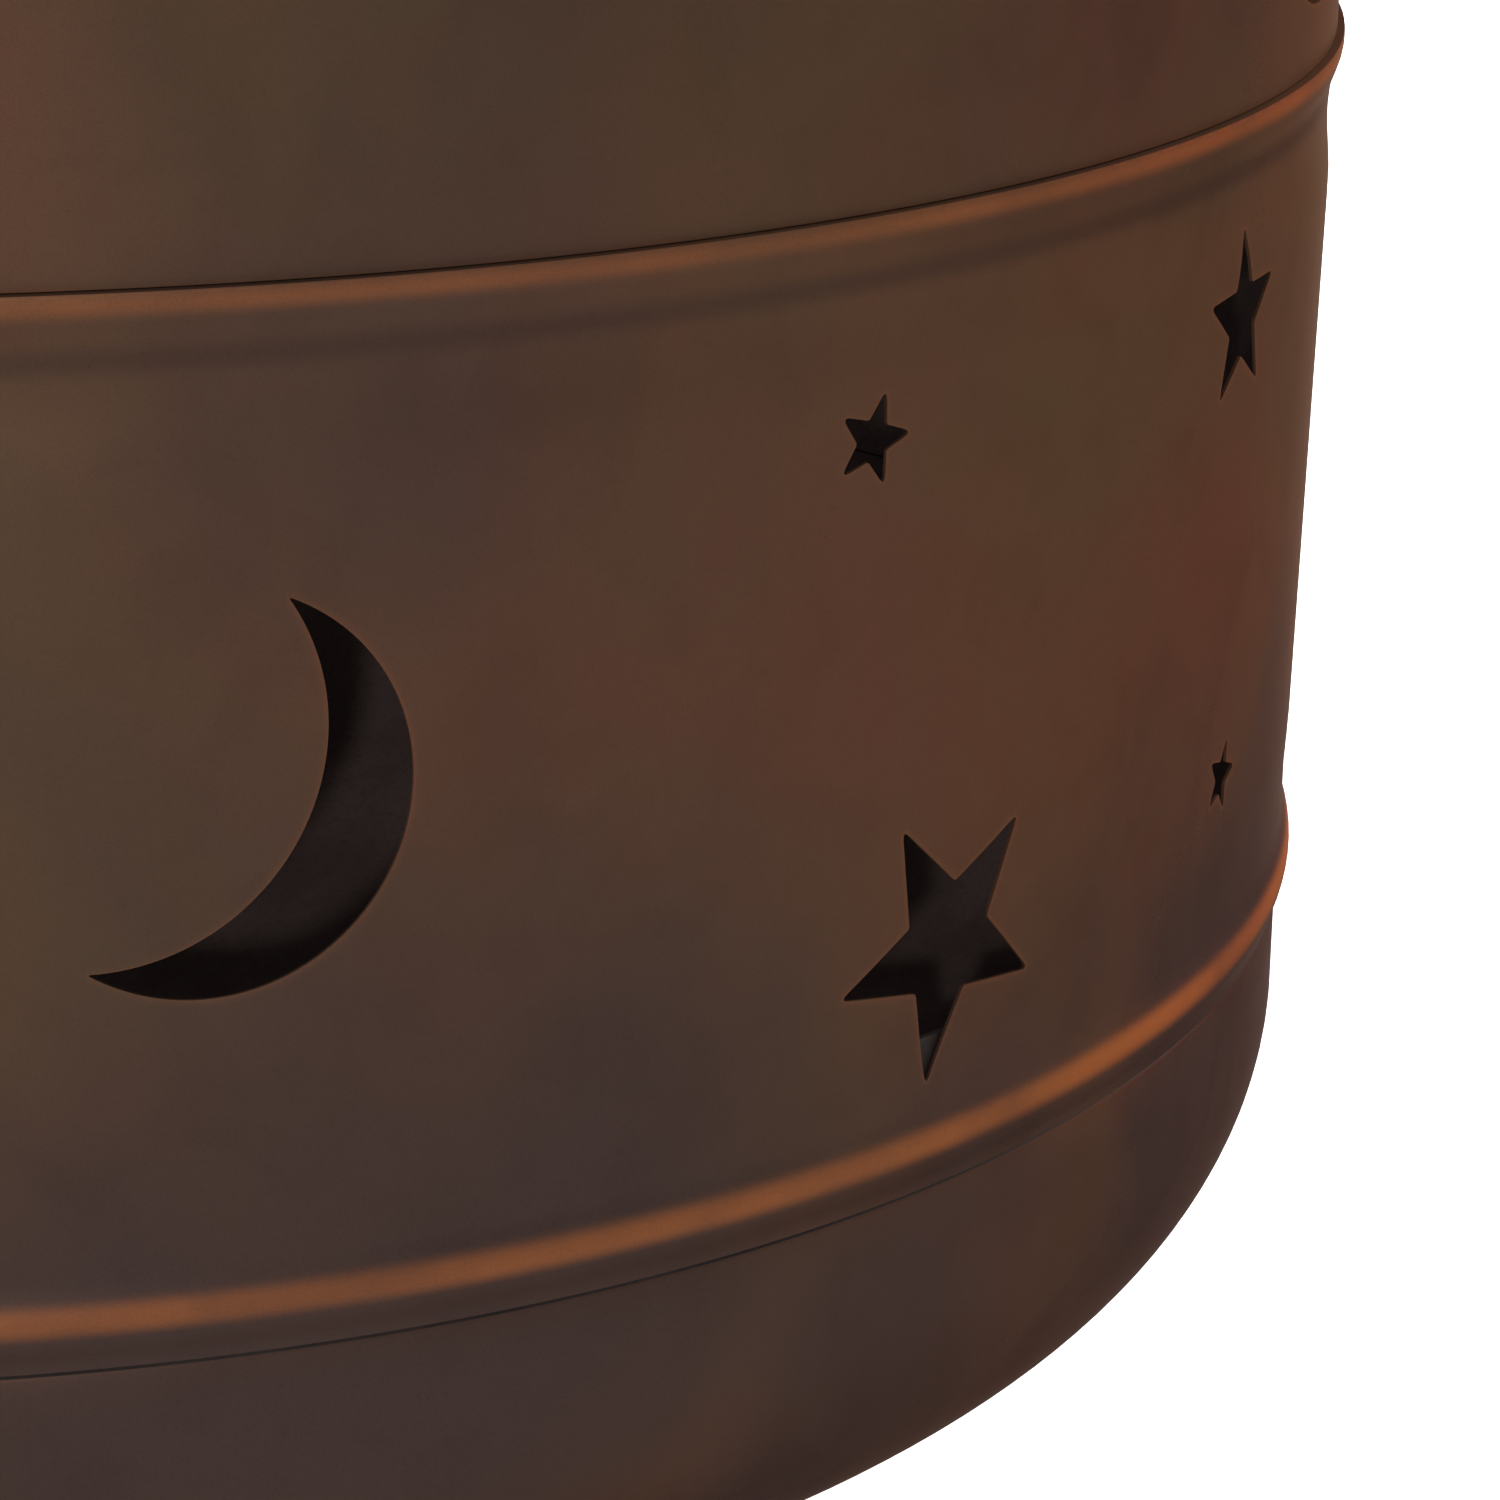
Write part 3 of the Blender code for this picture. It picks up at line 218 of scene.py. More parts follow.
# ---- The camera ----
def make_camera():
    """The camera, turned from the view of the axis by a yaw, a pitch and a roll."""
    back = outward(CAMERA_AZIMUTH)
    ahead = -back
    across = Vector((math.cos(math.radians(CAMERA_AZIMUTH)), math.sin(math.radians(CAMERA_AZIMUTH)), 0))
    flat = ahead * math.cos(CAMERA_YAW) + across * math.sin(CAMERA_YAW)
    forward = flat * math.cos(CAMERA_PITCH) - Vector((0, 0, math.sin(CAMERA_PITCH)))
    right = across * math.cos(CAMERA_YAW) - ahead * math.sin(CAMERA_YAW)
    up = right.cross(forward)
    rolled = up * math.cos(CAMERA_ROLL) - right * math.sin(CAMERA_ROLL)
    data = bpy.data.cameras.new("camera")
    data.lens = CAMERA_LENS
    data.sensor_width = CAMERA_SENSOR
    data.clip_start = 0.01
    data.dof.use_dof = False
    camera = bpy.data.objects.new("camera", data)
    bpy.context.scene.collection.objects.link(camera)
    aim(camera, back * CAMERA_DISTANCE + Vector((0, 0, CAMERA_HEIGHT)), forward, rolled)
    bpy.context.scene.camera = camera


make_camera()


# ---- Material nodes ----
def add(tree, kind, inputs, **settings):
    """A node with its settings, and with each input set or linked."""
    made = tree.nodes.new(kind)
    for name, value in settings.items():
        setattr(made, name, value)
    for socket, value in inputs.items():
        if isinstance(value, bpy.types.NodeSocket):
            tree.links.new(value, made.inputs[socket])
        else:
            made.inputs[socket].default_value = value
    return made


def noise(tree, where, scale, detail=3.0, rough=0.5, distortion=0.0):
    """A noise value in the object's own metres."""
    inputs = {"Vector": where, "Scale": scale, "Detail": detail, "Roughness": rough,
              "Distortion": distortion}
    return add(tree, "ShaderNodeTexNoise", inputs).outputs[0]


def ramp(tree, value, low, high, to_low=0.0, to_high=1.0):
    """A smooth step of a value between two levels."""
    inputs = {"Value": value, "From Min": low, "From Max": high, "To Min": to_low, "To Max": to_high}
    made = add(tree, "ShaderNodeMapRange", inputs, interpolation_type="SMOOTHSTEP")
    return made.outputs[0]


def maths(tree, operation, a, b):
    """One arithmetic step."""
    return add(tree, "ShaderNodeMath", {0: a, 1: b}, operation=operation).outputs[0]


def mix(tree, factor, a, b):
    """Two colours mixed; a colour is a socket or three numbers."""
    a = a if isinstance(a, bpy.types.NodeSocket) else (*a, 1.0)
    b = b if isinstance(b, bpy.types.NodeSocket) else (*b, 1.0)
    made = add(tree, "ShaderNodeMix", {0: factor, 6: a, 7: b}, data_type="RGBA")
    return made.outputs[2]


def shift(tree, where, offset):
    """Coordinates moved, for another stretch of the same noise."""
    return add(tree, "ShaderNodeVectorMath", {0: where, 1: offset}, operation="ADD").outputs[0]


def stretch(tree, where, scale):
    """Coordinates scaled unevenly."""
    return add(tree, "ShaderNodeVectorMath", {0: where, 1: scale}, operation="MULTIPLY").outputs[0]


def start_material(name):
    """An empty node material: its tree, its shader and the object's coordinates."""
    mat = bpy.data.materials.new(name)
    mat.use_nodes = True
    tree = mat.node_tree
    where = add(tree, "ShaderNodeTexCoord", {}).outputs["Object"]
    return mat, tree, tree.nodes["Principled BSDF"], where


def bumped(tree, shader, height, distance, strength):
    """Link a height to the shader's normal."""
    inputs = {"Height": height, "Distance": distance, "Strength": strength}
    made = add(tree, "ShaderNodeBump", inputs)
    tree.links.new(made.outputs[0], shader.inputs["Normal"])


OLIVE = (0.0600, 0.0362, 0.0215)
RED_BROWN = (0.0690, 0.0322, 0.0208)
PURPLE_GREY = (0.0405, 0.0258, 0.0222)
RUBBED = (0.1750, 0.0620, 0.0250)
# Painted shade: the colour where the wear value goes below zero, in the band's groove and under its lower
# bead.
GROOVE_SHADE = (0.0330, 0.0200, 0.0160)


def make_patina():
    """Satin copper-brown paint: clouds of olive, red-brown and purple-grey, rubbed edges, and painted shade
    where the wear value is below zero.
    """
    mat, tree, shader, where = start_material("copper_patina")
    low = stretch(tree, where, (1.0, 1.0, 0.8))
    clouds = noise(tree, shift(tree, low, (3.1, 0.4, 1.7)), 9.0, 5.0, 0.55, 0.3)
    color = mix(tree, ramp(tree, clouds, 0.36, 0.70), OLIVE, RED_BROWN)
    height = add(tree, "ShaderNodeSeparateXYZ", {"Vector": where}).outputs["Z"]
    # Purple-grey clouds, more of them towards the bottom of the band and over the bowl, so it is darker
    # there.
    purple_clouds = noise(tree, shift(tree, low, (8.2, 5.0, 0.3)), 5.0, 4.0, 0.50, 0.4)
    purple_towards_bottom = maths(tree, "ADD", purple_clouds, ramp(tree, height, SEAM_Z + 0.11, SEAM_Z - 0.03, 0.0, 0.24))
    color = mix(tree, ramp(tree, purple_towards_bottom, 0.52, 0.76), color, PURPLE_GREY)
    small = noise(tree, where, 45.0, 4.0, 0.60, 0.4)
    color = mix(tree, ramp(tree, small, 0.30, 0.72, 0.93, 1.06), (0, 0, 0), color)
    wear_and_shade = add(tree, "ShaderNodeAttribute", {}, attribute_name="wear_and_shade").outputs["Fac"]
    patchy = ramp(tree, noise(tree, where, 16.0, 4.0, 0.6), 0.32, 0.62, 0.55, 1.0)
    # Below zero the wear value paints shade: darker in the groove under the upper bead and under the lower
    # bead.
    color = mix(tree, ramp(tree, wear_and_shade, 0.0, -1.0), color, GROOVE_SHADE)
    color = mix(tree, maths(tree, "MULTIPLY", ramp(tree, wear_and_shade, 0.0, 1.0), patchy), color, RUBBED)
    speckle = noise(tree, where, 2600.0, 2.0, 0.6)
    color = mix(tree, ramp(tree, speckle, 0.30, 0.70, 0.90, 1.10), (0, 0, 0), color)
    tree.links.new(color, shader.inputs["Base Color"])
    rough = maths(tree, "MULTIPLY_ADD", small, 0.14)
    rough.node.inputs[2].default_value = 0.42
    tree.links.new(rough, shader.inputs["Roughness"])
    shader.inputs["Metallic"].default_value = 0.45
    shader.inputs["Specular IOR Level"].default_value = 0.0
    shader.inputs["Specular Tint"].default_value = (0.30, 0.16, 0.09, 1.0)
    peel = noise(tree, where, 1100.0, 3.0, 0.55)
    bumped(tree, shader, peel, 0.00002, 0.6)
    return mat


def make_plain_metal(name, dark, light, rough, metallic, grain, specular=0.35, depth=0.00003):
    """A painted, cast or plated surface with clouds and grain."""
    mat, tree, shader, where = start_material(name)
    clouds = noise(tree, where, 26.0, 4.0, 0.6, 0.5)
    color = mix(tree, ramp(tree, clouds, 0.32, 0.68), dark, light)
    fine = noise(tree, where, grain, 3.0, 0.6)
    color = mix(tree, ramp(tree, fine, 0.25, 0.75, 0.80, 1.20), (0, 0, 0), color)
    tree.links.new(color, shader.inputs["Base Color"])
    tree.links.new(ramp(tree, clouds, 0.2, 0.8, rough - 0.07, rough + 0.09), shader.inputs["Roughness"])
    shader.inputs["Metallic"].default_value = metallic
    shader.inputs["Specular IOR Level"].default_value = specular
    bumped(tree, shader, fine, depth, 0.7)
    return mat


PATINA = make_patina()
# Near-black for the inner faces and the faces hidden inside the rings: painted shade.
NEAR_BLACK_SHADE = make_plain_metal("near_black_painted_shade", (0.012, 0.009, 0.008), (0.022, 0.016, 0.014),
                        0.72, 0.1, 700.0, 0.1)
INSIDE = make_plain_metal("smoked_inside", (0.115, 0.078, 0.070), (0.165, 0.115, 0.105),
                          0.72, 0.0, 700.0, 0.1)
DARK_STEEL = make_plain_metal("dark_paint", (0.018, 0.015, 0.013), (0.034, 0.028, 0.024),
                              0.52, 0.3, 1500.0)
ZINC = make_plain_metal("dull_zinc", (0.16, 0.15, 0.14), (0.33, 0.31, 0.29), 0.36, 0.9, 1800.0)
IRON = make_plain_metal("black_iron", (0.010, 0.009, 0.009), (0.034, 0.026, 0.022),
                        0.70, 0.4, 420.0, 0.3, 0.00012)
RUBBER = make_plain_metal("black_rubber", (0.010, 0.010, 0.010), (0.018, 0.018, 0.018),
                          0.78, 0.0, 2400.0)


# ---- Making meshes ----
def add_piece(name, mesh, body, replaced, materials):
    """Put a mesh in the scene as a piece that rides on a body and stands for CAD nodes."""
    for mat in materials:
        mesh.materials.append(mat)
    obj = bpy.data.objects.new(name, mesh)
    bpy.context.scene.collection.objects.link(obj)
    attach(obj, body)
    if replaced:
        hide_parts(*replaced)
    return obj


def mesh_from(name, points, faces, sharp=32.0):
    """A mesh shaded smooth, with its sharp edges kept."""
    mesh = bpy.data.meshes.new(name)
    mesh.from_pydata([tuple(p) for p in points], [], [tuple(f) for f in faces])
    mesh.update()
    mesh.shade_smooth()
    mesh.set_sharp_from_angle(angle=math.radians(sharp))
    return mesh


def store_wear_and_shade(mesh, values):
    """Store how worn each point of a mesh is: 1 is rubbed bright, -1 is painted shade."""
    layer = mesh.attributes.new("wear_and_shade", "FLOAT", "POINT")
    layer.data.foreach_set("value", np.asarray(values, dtype=np.float32))


def thickened(points, thickness):
    """The closed outline of a sheet whose outer side runs through the points, bottom to top."""
    run = np.array(points, dtype=float)
    steps = np.diff(run, axis=0)
    sides = np.stack([-steps[:, 1], steps[:, 0]], axis=1)
    sides /= np.linalg.norm(sides, axis=1)[:, None]
    before = np.vstack([sides[:1], sides])
    after = np.vstack([sides, sides[-1:]])
    middle = before + after
    middle /= np.linalg.norm(middle, axis=1)[:, None]
    reach = thickness / np.maximum((middle * before).sum(axis=1), 0.5)
    inner = run + middle * reach[:, None]
    inner[:, 0] = np.maximum(inner[:, 0], 0.0)
    return run, inner


def lathe(name, outline, sides, closed=True, sharp=32.0):
    """A mesh turned about Z from an outline of (radius, height), and each face's outline step."""
    count = len(outline)
    angles = np.arange(sides) * 2 * math.pi / sides
    points = []
    rows = []
    for r, z in outline:
        rows.append(len(points))
        if r < 1e-7:
            points.append((0.0, 0.0, z))
        else:
            points += [(r * math.sin(a), -r * math.cos(a), z) for a in angles]
    on_axis = [r < 1e-7 for r, _ in outline]
    faces = []
    steps = []
    for k in range(count if closed else count - 1):
        j = (k + 1) % count
        if on_axis[k] and on_axis[j]:
            continue
        for s in range(sides):
            t = (s + 1) % sides
            a, b = rows[k] + s, rows[k] + t
            c, d = rows[j] + t, rows[j] + s
            if on_axis[k]:
                faces.append((rows[k], c, d))
            elif on_axis[j]:
                faces.append((a, b, rows[j]))
            else:
                faces.append((a, b, c, d))
            steps.append(k)
    mesh = mesh_from(name, points, faces, sharp)
    return mesh, steps


def turned_wear(outline, values, sides):
    """The wear of each point of a turned mesh, from one value for each point of its outline."""
    wear_and_shade = []
    for (r, _), value in zip(outline, values):
        wear_and_shade += [value] * (1 if r < 1e-7 else sides)
    return wear_and_shade


def turned_sheet(name, side, wear_and_shade, replaced, sides=BODY_SIDES, skins=None):
    """A turned piece of sheet metal, painted outside and, unless other skins are given, near-black inside:
    painted shade.

    A third skin, where there is one, covers the last steps of the outer side.
    """
    outer, inner = thickened(side, SHEET)
    outline = [tuple(p) for p in outer] + [tuple(p) for p in inner[::-1]]
    mesh, steps = lathe(name, outline, sides, closed=outer[0][0] >= 1e-7)
    store_wear_and_shade(mesh, turned_wear(outline, list(wear_and_shade) + [0.0] * len(inner), sides))
    hidden = len(outer) - 3 if skins else len(outer)
    index = [2 if hidden <= step < len(outer) else 1 if step >= len(outer) else 0 for step in steps]
    add_piece(name, mesh, "root", replaced, skins or [PATINA, NEAR_BLACK_SHADE])
    mesh.polygons.foreach_set("material_index", index)


# ---- Outlines of the cut-outs ----
def star_outline(radius, tilt):
    """A five-pointed star with one point up, turned to the left by tilt."""
    points = []
    for k in range(10):
        reach = radius if k % 2 == 0 else radius * INNER_STAR
        a = math.radians(90.0 + tilt + 36.0 * k)
        points.append((reach * math.cos(a), reach * math.sin(a)))
    return points


def moon_outline(radius):
    """A crescent: a disc less a larger disc to its upper left."""
    bite = radius * MOON_BITE_RADIUS
    shift_by = Vector(MOON_BITE_SHIFT) * radius
    # The two circles meet where the line between their centres is crossed square.
    along = (radius ** 2 - bite ** 2 + shift_by.length_squared) / (2 * shift_by.length)
    half = math.acos(along / radius)
    half_bite = math.acos((along - shift_by.length) / bite)
    toward = math.atan2(shift_by.y, shift_by.x)
    outer = spread(toward + half, toward + 2 * math.pi - half, 64)
    inner = spread(toward + 2 * math.pi - half_bite, toward + half_bite, 48)
    points = [(radius * math.cos(a), radius * math.sin(a)) for a in outer]
    points += [(shift_by.x + bite * math.cos(a), shift_by.y + bite * math.sin(a)) for a in inner[1:-1]]
    return points


def rounded(outline, radius):
    """Round off the sharp corners of a closed outline, and break its long sides into steps."""
    points = [Vector(p) for p in outline]
    count = len(points)
    soft = []
    for k, corner in enumerate(points):
        before = points[k - 1] - corner
        after = points[(k + 1) % count] - corner
        turn = before.angle(after)
        if turn > math.radians(160.0):
            soft.append(corner)
            continue
        trim = min(radius / math.tan(turn / 2), 0.45 * before.length, 0.45 * after.length, 3 * radius)
        start = corner + before.normalized() * trim
        end = corner + after.normalized() * trim
        for t in spread(0.0, 1.0, 4):
            soft.append(start * (1 - t) ** 2 + corner * 2 * t * (1 - t) + end * t ** 2)
    fine = []
    for k, point in enumerate(soft):
        following = soft[(k + 1) % len(soft)]
        pieces = max(1, math.ceil((following - point).length / OUTLINE_STEP))
        fine += [point.lerp(following, j / pieces) for j in range(pieces)]
    return np.array([tuple(p) for p in fine])


def rounded_rectangle(half_width, half_height, corner):
    """The outline of a rectangle with round corners, anticlockwise."""
    points = []
    for turn in range(4):
        sign_x = 1 if turn in (0, 3) else -1
        sign_y = 1 if turn in (0, 1) else -1
        for angle in spread(90.0 * turn, 90.0 * turn + 90.0, 8):
            a = math.radians(angle)
            points.append((sign_x * (half_width - corner) + corner * math.cos(a),
                           sign_y * (half_height - corner) + corner * math.sin(a)))
    return points


def distance_to(points, outlines):
    """Distance of each point from the nearest outline, less than zero inside one."""
    nearest = np.full(len(points), 1.0)
    inside = np.zeros(len(points), dtype=bool)
    for outline in outlines:
        a = outline
        b = np.roll(outline, -1, axis=0)
        along = b - a
        length2 = (along ** 2).sum(axis=1)
        for start in range(0, len(points), 2000):
            p = points[start:start + 2000, None, :]
            t = np.clip(((p - a) * along).sum(axis=2) / length2, 0, 1)
            gap = np.linalg.norm(p - (a + along * t[..., None]), axis=2).min(axis=1)
            nearest[start:start + 2000] = np.minimum(nearest[start:start + 2000], gap)
            crosses = (a[:, 1] > p[..., 1]) != (b[:, 1] > p[..., 1])
            with np.errstate(divide="ignore", invalid="ignore"):
                at = a[:, 0] + (p[..., 1] - a[:, 1]) * along[:, 0] / along[:, 1]
            odd = (crosses & (p[..., 0] < at)).sum(axis=1) % 2 == 1
            inside[start:start + 2000] ^= odd
    return np.where(inside, -nearest, nearest)


def pierced_sector(start, width, columns, heights, outlines, keep_inside=None):
    """Triangles of a flat sheet with holes, in (arc length, height), and each point's nearness.

    keep_inside is an outline that the sheet ends at, for a sheet that isn't a full rectangle.
    """
    arcs = np.linspace(start, start + width, columns + 1)
    grid = np.array([(x, y) for x in arcs for y in heights])
    limits = list(outlines) + ([keep_inside] if keep_inside is not None else [])
    gap = distance_to(grid, limits) if limits else np.ones(len(grid))
    if keep_inside is not None:
        within = distance_to(grid, [keep_inside]) < 0
        holes_gap = distance_to(grid, outlines)
        grid = grid[within & (holes_gap > 0) & (np.abs(gap) > 0.0005)]
    else:
        grid = grid[gap > 0.0005]
    rings = []
    for outline in outlines:
        ahead = np.roll(outline, -1, axis=0) - np.roll(outline, 1, axis=0)
        out = np.stack([ahead[:, 1], -ahead[:, 0]], axis=1)
        out /= np.linalg.norm(out, axis=1)[:, None]
        area = (outline[:, 0] * np.roll(outline[:, 1], -1) - outline[:, 1] * np.roll(outline[:, 0], -1)).sum()
        out *= 1.0 if area > 0 else -1.0
        for k, reach in enumerate((0.0005, 0.0012, RUB_REACH, 0.0034)):
            ring = outline[::1 + k // 2] + out[::1 + k // 2] * reach
            clear = distance_to(ring, outlines) > 0.93 * reach
            rings.append(ring[clear])
    loose = np.vstack([grid] + rings)
    points = list(loose)
    edges = []
    for outline in limits:
        base = len(points)
        points += list(outline)
        edges += [(base + k, base + (k + 1) % len(outline)) for k in range(len(outline))]
    made = delaunay_2d_cdt([Vector(p) for p in points], edges, [], 0, 1e-7, False)
    verts = np.array([tuple(v) for v in made[0]])
    tris = np.array([tuple(f) for f in made[2]])
    middle = verts[tris].mean(axis=1)
    kept = distance_to(middle, outlines) > 0 if outlines else np.ones(len(tris), dtype=bool)
    if keep_inside is not None:
        kept &= distance_to(middle, [keep_inside]) < 0
    corners = verts[tris]
    size = np.abs(np.cross(corners[:, 1] - corners[:, 0], corners[:, 2] - corners[:, 0]))
    kept &= size > 1e-11
    tris = tris[kept]
    used = np.unique(tris)
    lookup = np.zeros(len(verts), dtype=int)
    lookup[used] = np.arange(len(used))
    verts = verts[used]
    nearness = distance_to(verts, outlines) if outlines else np.ones(len(verts))
    return verts, lookup[tris], nearness


def sheet_mesh(name, sectors, radius_at, slope_at, rub_and_shade_at, thickness, scale):
    """A curved sheet from flat sectors of (arc, height), with exact normals on both sides.

    scale is the radius that turns an arc length into an angle.
    """
    points = []
    faces = []
    rubs_and_shade = []
    for verts, tris, nearness in sectors:
        base = sum(len(p) for p in points)
        points.append(verts)
        faces.append(tris + base)
        rubs_and_shade.append([rub_and_shade_at(h) + edge_rub(d) for (_, h), d in zip(verts, nearness)])
    flat = np.vstack(points)
    tris = np.vstack(faces)
    rubs_and_shade = np.concatenate(rubs_and_shade)
    angle = np.mod(flat[:, 0] / scale + 1e-7, 2 * math.pi)
    key = np.stack([np.round(angle * 1e5), np.round(flat[:, 1] * 1e7)], axis=1).astype(np.int64)
    _, first, inverse = np.unique(key, axis=0, return_index=True, return_inverse=True)
    flat, rubs_and_shade, angle = flat[first], rubs_and_shade[first], angle[first]
    tris = inverse.reshape(-1)[tris]
    radius = np.array([radius_at(h) for h in flat[:, 1]])
    slope = np.array([slope_at(h) for h in flat[:, 1]])
    out = np.stack([np.sin(angle), -np.cos(angle), np.zeros(len(angle))], axis=1)
    normal = out - np.array([0, 0, 1.0]) * slope[:, None]
    normal /= np.linalg.norm(normal, axis=1)[:, None]
    outer = out * radius[:, None] + np.array([0, 0, 1.0]) * flat[:, 1][:, None]
    inner = outer - normal * thickness
    edge_count = {}
    for a, b, c in tris:
        for edge in ((a, b), (b, c), (c, a)):
            edge_count[edge] = 1
    rim = [edge for edge in edge_count if (edge[1], edge[0]) not in edge_count]
    count = len(flat)
    all_faces = [tuple(t) for t in tris]
    all_faces += [(a + count, c + count, b + count) for a, b, c in tris]
    all_faces += [(b, a, a + count, b + count) for a, b in rim]
    place = np.vstack([outer, inner])
    mesh = mesh_from(name, place, all_faces, 180.0)
    loops = [normal[i] for t in tris for i in t]
    loops += [-normal[i] for a, b, c in tris for i in (a, c, b)]
    for a, b in rim:
        side = np.cross(place[a] - place[b], place[a + count] - place[b])
        side /= np.linalg.norm(side)
        loops += [side] * 4
    mesh.normals_split_custom_set([tuple(v) for v in loops])
    store_wear_and_shade(mesh, np.concatenate([rubs_and_shade, rubs_and_shade * 0.3]))
    return mesh, len(tris)


def edge_rub(distance):
    """How rubbed the paint is at a distance from a cut edge."""
    return 0.28 * max(0.0, 1 - distance / RUB_REACH) ** 1.5


def no_rub(_height):
    """Nowhere rubbed apart from the cut edges."""
    return 0.0


def cutouts(group, base, scale):
    """The outlines of one group, in (arc, height)."""
    made = []
    for kind, azimuth, height, radius, tilt in group:
        outline = moon_outline(radius) if kind == "moon" else star_outline(radius, tilt)
        middle = (math.radians(azimuth) * scale, base + height)
        made.append(rounded(outline, TIP_ROUND) + np.array(middle))
    return made


def paint_sides(mesh, outer_count):
    """Give the inner side of a curved sheet its second material."""
    rim_count = len(mesh.polygons) - 2 * outer_count
    index = [0] * outer_count + [1] * outer_count + [0] * rim_count
    mesh.polygons.foreach_set("material_index", index)


def slope_of(radius_at):
    """The slope of a profile, radius over height."""
    reach = 1e-5
    return lambda h: (radius_at(h + reach) - radius_at(h - reach)) / (2 * reach)


# ---- The pierced band ----
def band_radius(height):
    """Outer radius of the band above its lower edge, with its beads and grooves."""
    radius = BODY_RADIUS + BODY_TAPER * (height - BAND_HEIGHT / 2)
    radius += 0.00187 * bump(height - 0.0076, 0.0084)
    radius -= 0.00034 * bump(height - 0.0244, 0.0126)
    radius -= 0.00112 * bump(height - 0.1568, 0.0154)
    radius += 0.00118 * bump(height - 0.1697, 0.0078)
    return radius


def band_rub_and_shade(z):
    """The rubbed crests of the band's beads, less painted shade in the groove under the upper bead and under
    the lower bead.
    """
    h = z - SEAM_Z
    rubbed = 0.95 * bump(h - 0.0092, 0.0044) + 0.60 * bump(h - 0.1700, 0.0036)
    # Painted shade in the groove under the upper bead and on the lower bead's underside.
    dark = 0.55 * bump(h - 0.1612, 0.0046) + 0.35 * bump(h - 0.0030, 0.0036)
    return rubbed - dark


def make_band():
    """The low ring with its stars and moons."""
    scale = BODY_RADIUS
    top = BAND_HEIGHT - SHOULDER
    heights = spread(0.0, 0.0200, 28) + spread(0.0200, 0.1440, 22)[1:] + spread(0.1440, top, 34)[1:]
    heights = [SEAM_Z + h for h in heights]
    width = 360.0 / BAND_GROUPS
    columns = BODY_SIDES // BAND_GROUPS
    holes = cutouts(BAND_GROUP, SEAM_Z, scale)
    arc = math.radians(width) * scale
    start = math.radians(BAND_START) * scale
    verts, tris, nearness = pierced_sector(start, arc, columns, heights, holes)
    sectors = [(verts + np.array((arc * k, 0.0)), tris, nearness) for k in range(BAND_GROUPS)]

    def radius_at(z):
        return band_radius(z - SEAM_Z)

    mesh, outer_count = sheet_mesh("band", sectors, radius_at, slope_of(radius_at), band_rub_and_shade,
                                   CUT_SHEET, scale)
    add_piece("band", mesh, "root", ["pierced_band"], [PATINA, INSIDE])
    paint_sides(mesh, outer_count)


def make_neck(name, base, radius):
    """The shoulder above a bead and the neck that goes up inside the next ring."""
    top = base - SHOULDER
    neck_radius = SHELL_RADIUS - SHEET - GAP
    side = [(radius, top - 0.0004), (radius - 0.0001, top)]
    side += [(neck_radius, base - 0.0002), (neck_radius, base + NECK_HEIGHT)]
    turned_sheet(name, side, [0.6, 0.6 * 0.4, 0.0, 0.0], [])


make_band()
make_neck("band_neck", SHELL_Z, band_radius(BAND_HEIGHT - 0.001) - 0.00002)


# ---- The firebox ----
def door_mouth(scale):
    """The outline of the door mouth in (arc, height)."""
    flat = rounded_rectangle(MOUTH_HALF_WIDTH, MOUTH_HALF_HEIGHT, MOUTH_CORNER)
    points = [(math.asin(x / SHELL_RADIUS) * scale, DOOR_MIDDLE_Z + y) for x, y in flat]
    return rounded(points, DOOR_TIP_ROUND)


def firebox_radius(z):
    """Outer radius of the firebox wall, with the bead under the hood."""
    h = z - SHELL_Z
    radius = SHELL_RADIUS
    radius += 0.00140 * bump(h - (SHELL_HEIGHT - 0.0040), 0.0072)
    radius -= 0.00050 * bump(h - (SHELL_HEIGHT - 0.0150), 0.0080)
    return radius


def firebox_rub(z):
    """The rubbed crest of the firebox's bead and its lower hem."""
    h = z - SHELL_Z
    return max(0.85 * bump(h - (SHELL_HEIGHT - 0.0035), 0.0040), 0.25 * bump(h, 0.0006))


def make_firebox():
    """The upper ring with its cut-outs and the door mouth."""
    scale = SHELL_RADIUS
    top = SHELL_HEIGHT - SHOULDER
    heights = spread(0.0, 0.0030, 4)
    heights += spread(0.0030, SHELL_HEIGHT - 0.0240, 40)[1:]
    heights += spread(SHELL_HEIGHT - 0.0240, top, 34)[1:]
    heights = [SHELL_Z + h for h in heights]
    arc = math.radians(SHELL_STEP) * scale
    start = math.radians(SHELL_START) * scale
    columns = round(BODY_SIDES * SHELL_STEP / 360.0)
    holes = cutouts(SHELL_GROUP, SHELL_Z, scale)
    verts, tris, nearness = pierced_sector(start, arc, columns, heights, holes)
    sectors = [(verts + np.array((arc * k, 0.0)), tris, nearness) for k in range(SHELL_GROUPS)]
    door_width = 360.0 - SHELL_STEP * SHELL_GROUPS
    door_start = start - math.radians(door_width) * scale
    door_columns = round(BODY_SIDES * door_width / 360.0)
    sectors.append(pierced_sector(door_start, math.radians(door_width) * scale, door_columns, heights,
                                  [door_mouth(scale)]))
    mesh, outer_count = sheet_mesh("firebox", sectors, firebox_radius, slope_of(firebox_radius),
                                   firebox_rub, SHEET, scale)
    add_piece("firebox", mesh, "root", ["firebox_shell"], [PATINA, NEAR_BLACK_SHADE])
    paint_sides(mesh, outer_count)


make_firebox()
make_neck("firebox_neck", HOOD_Z, SHELL_RADIUS + 0.0012)


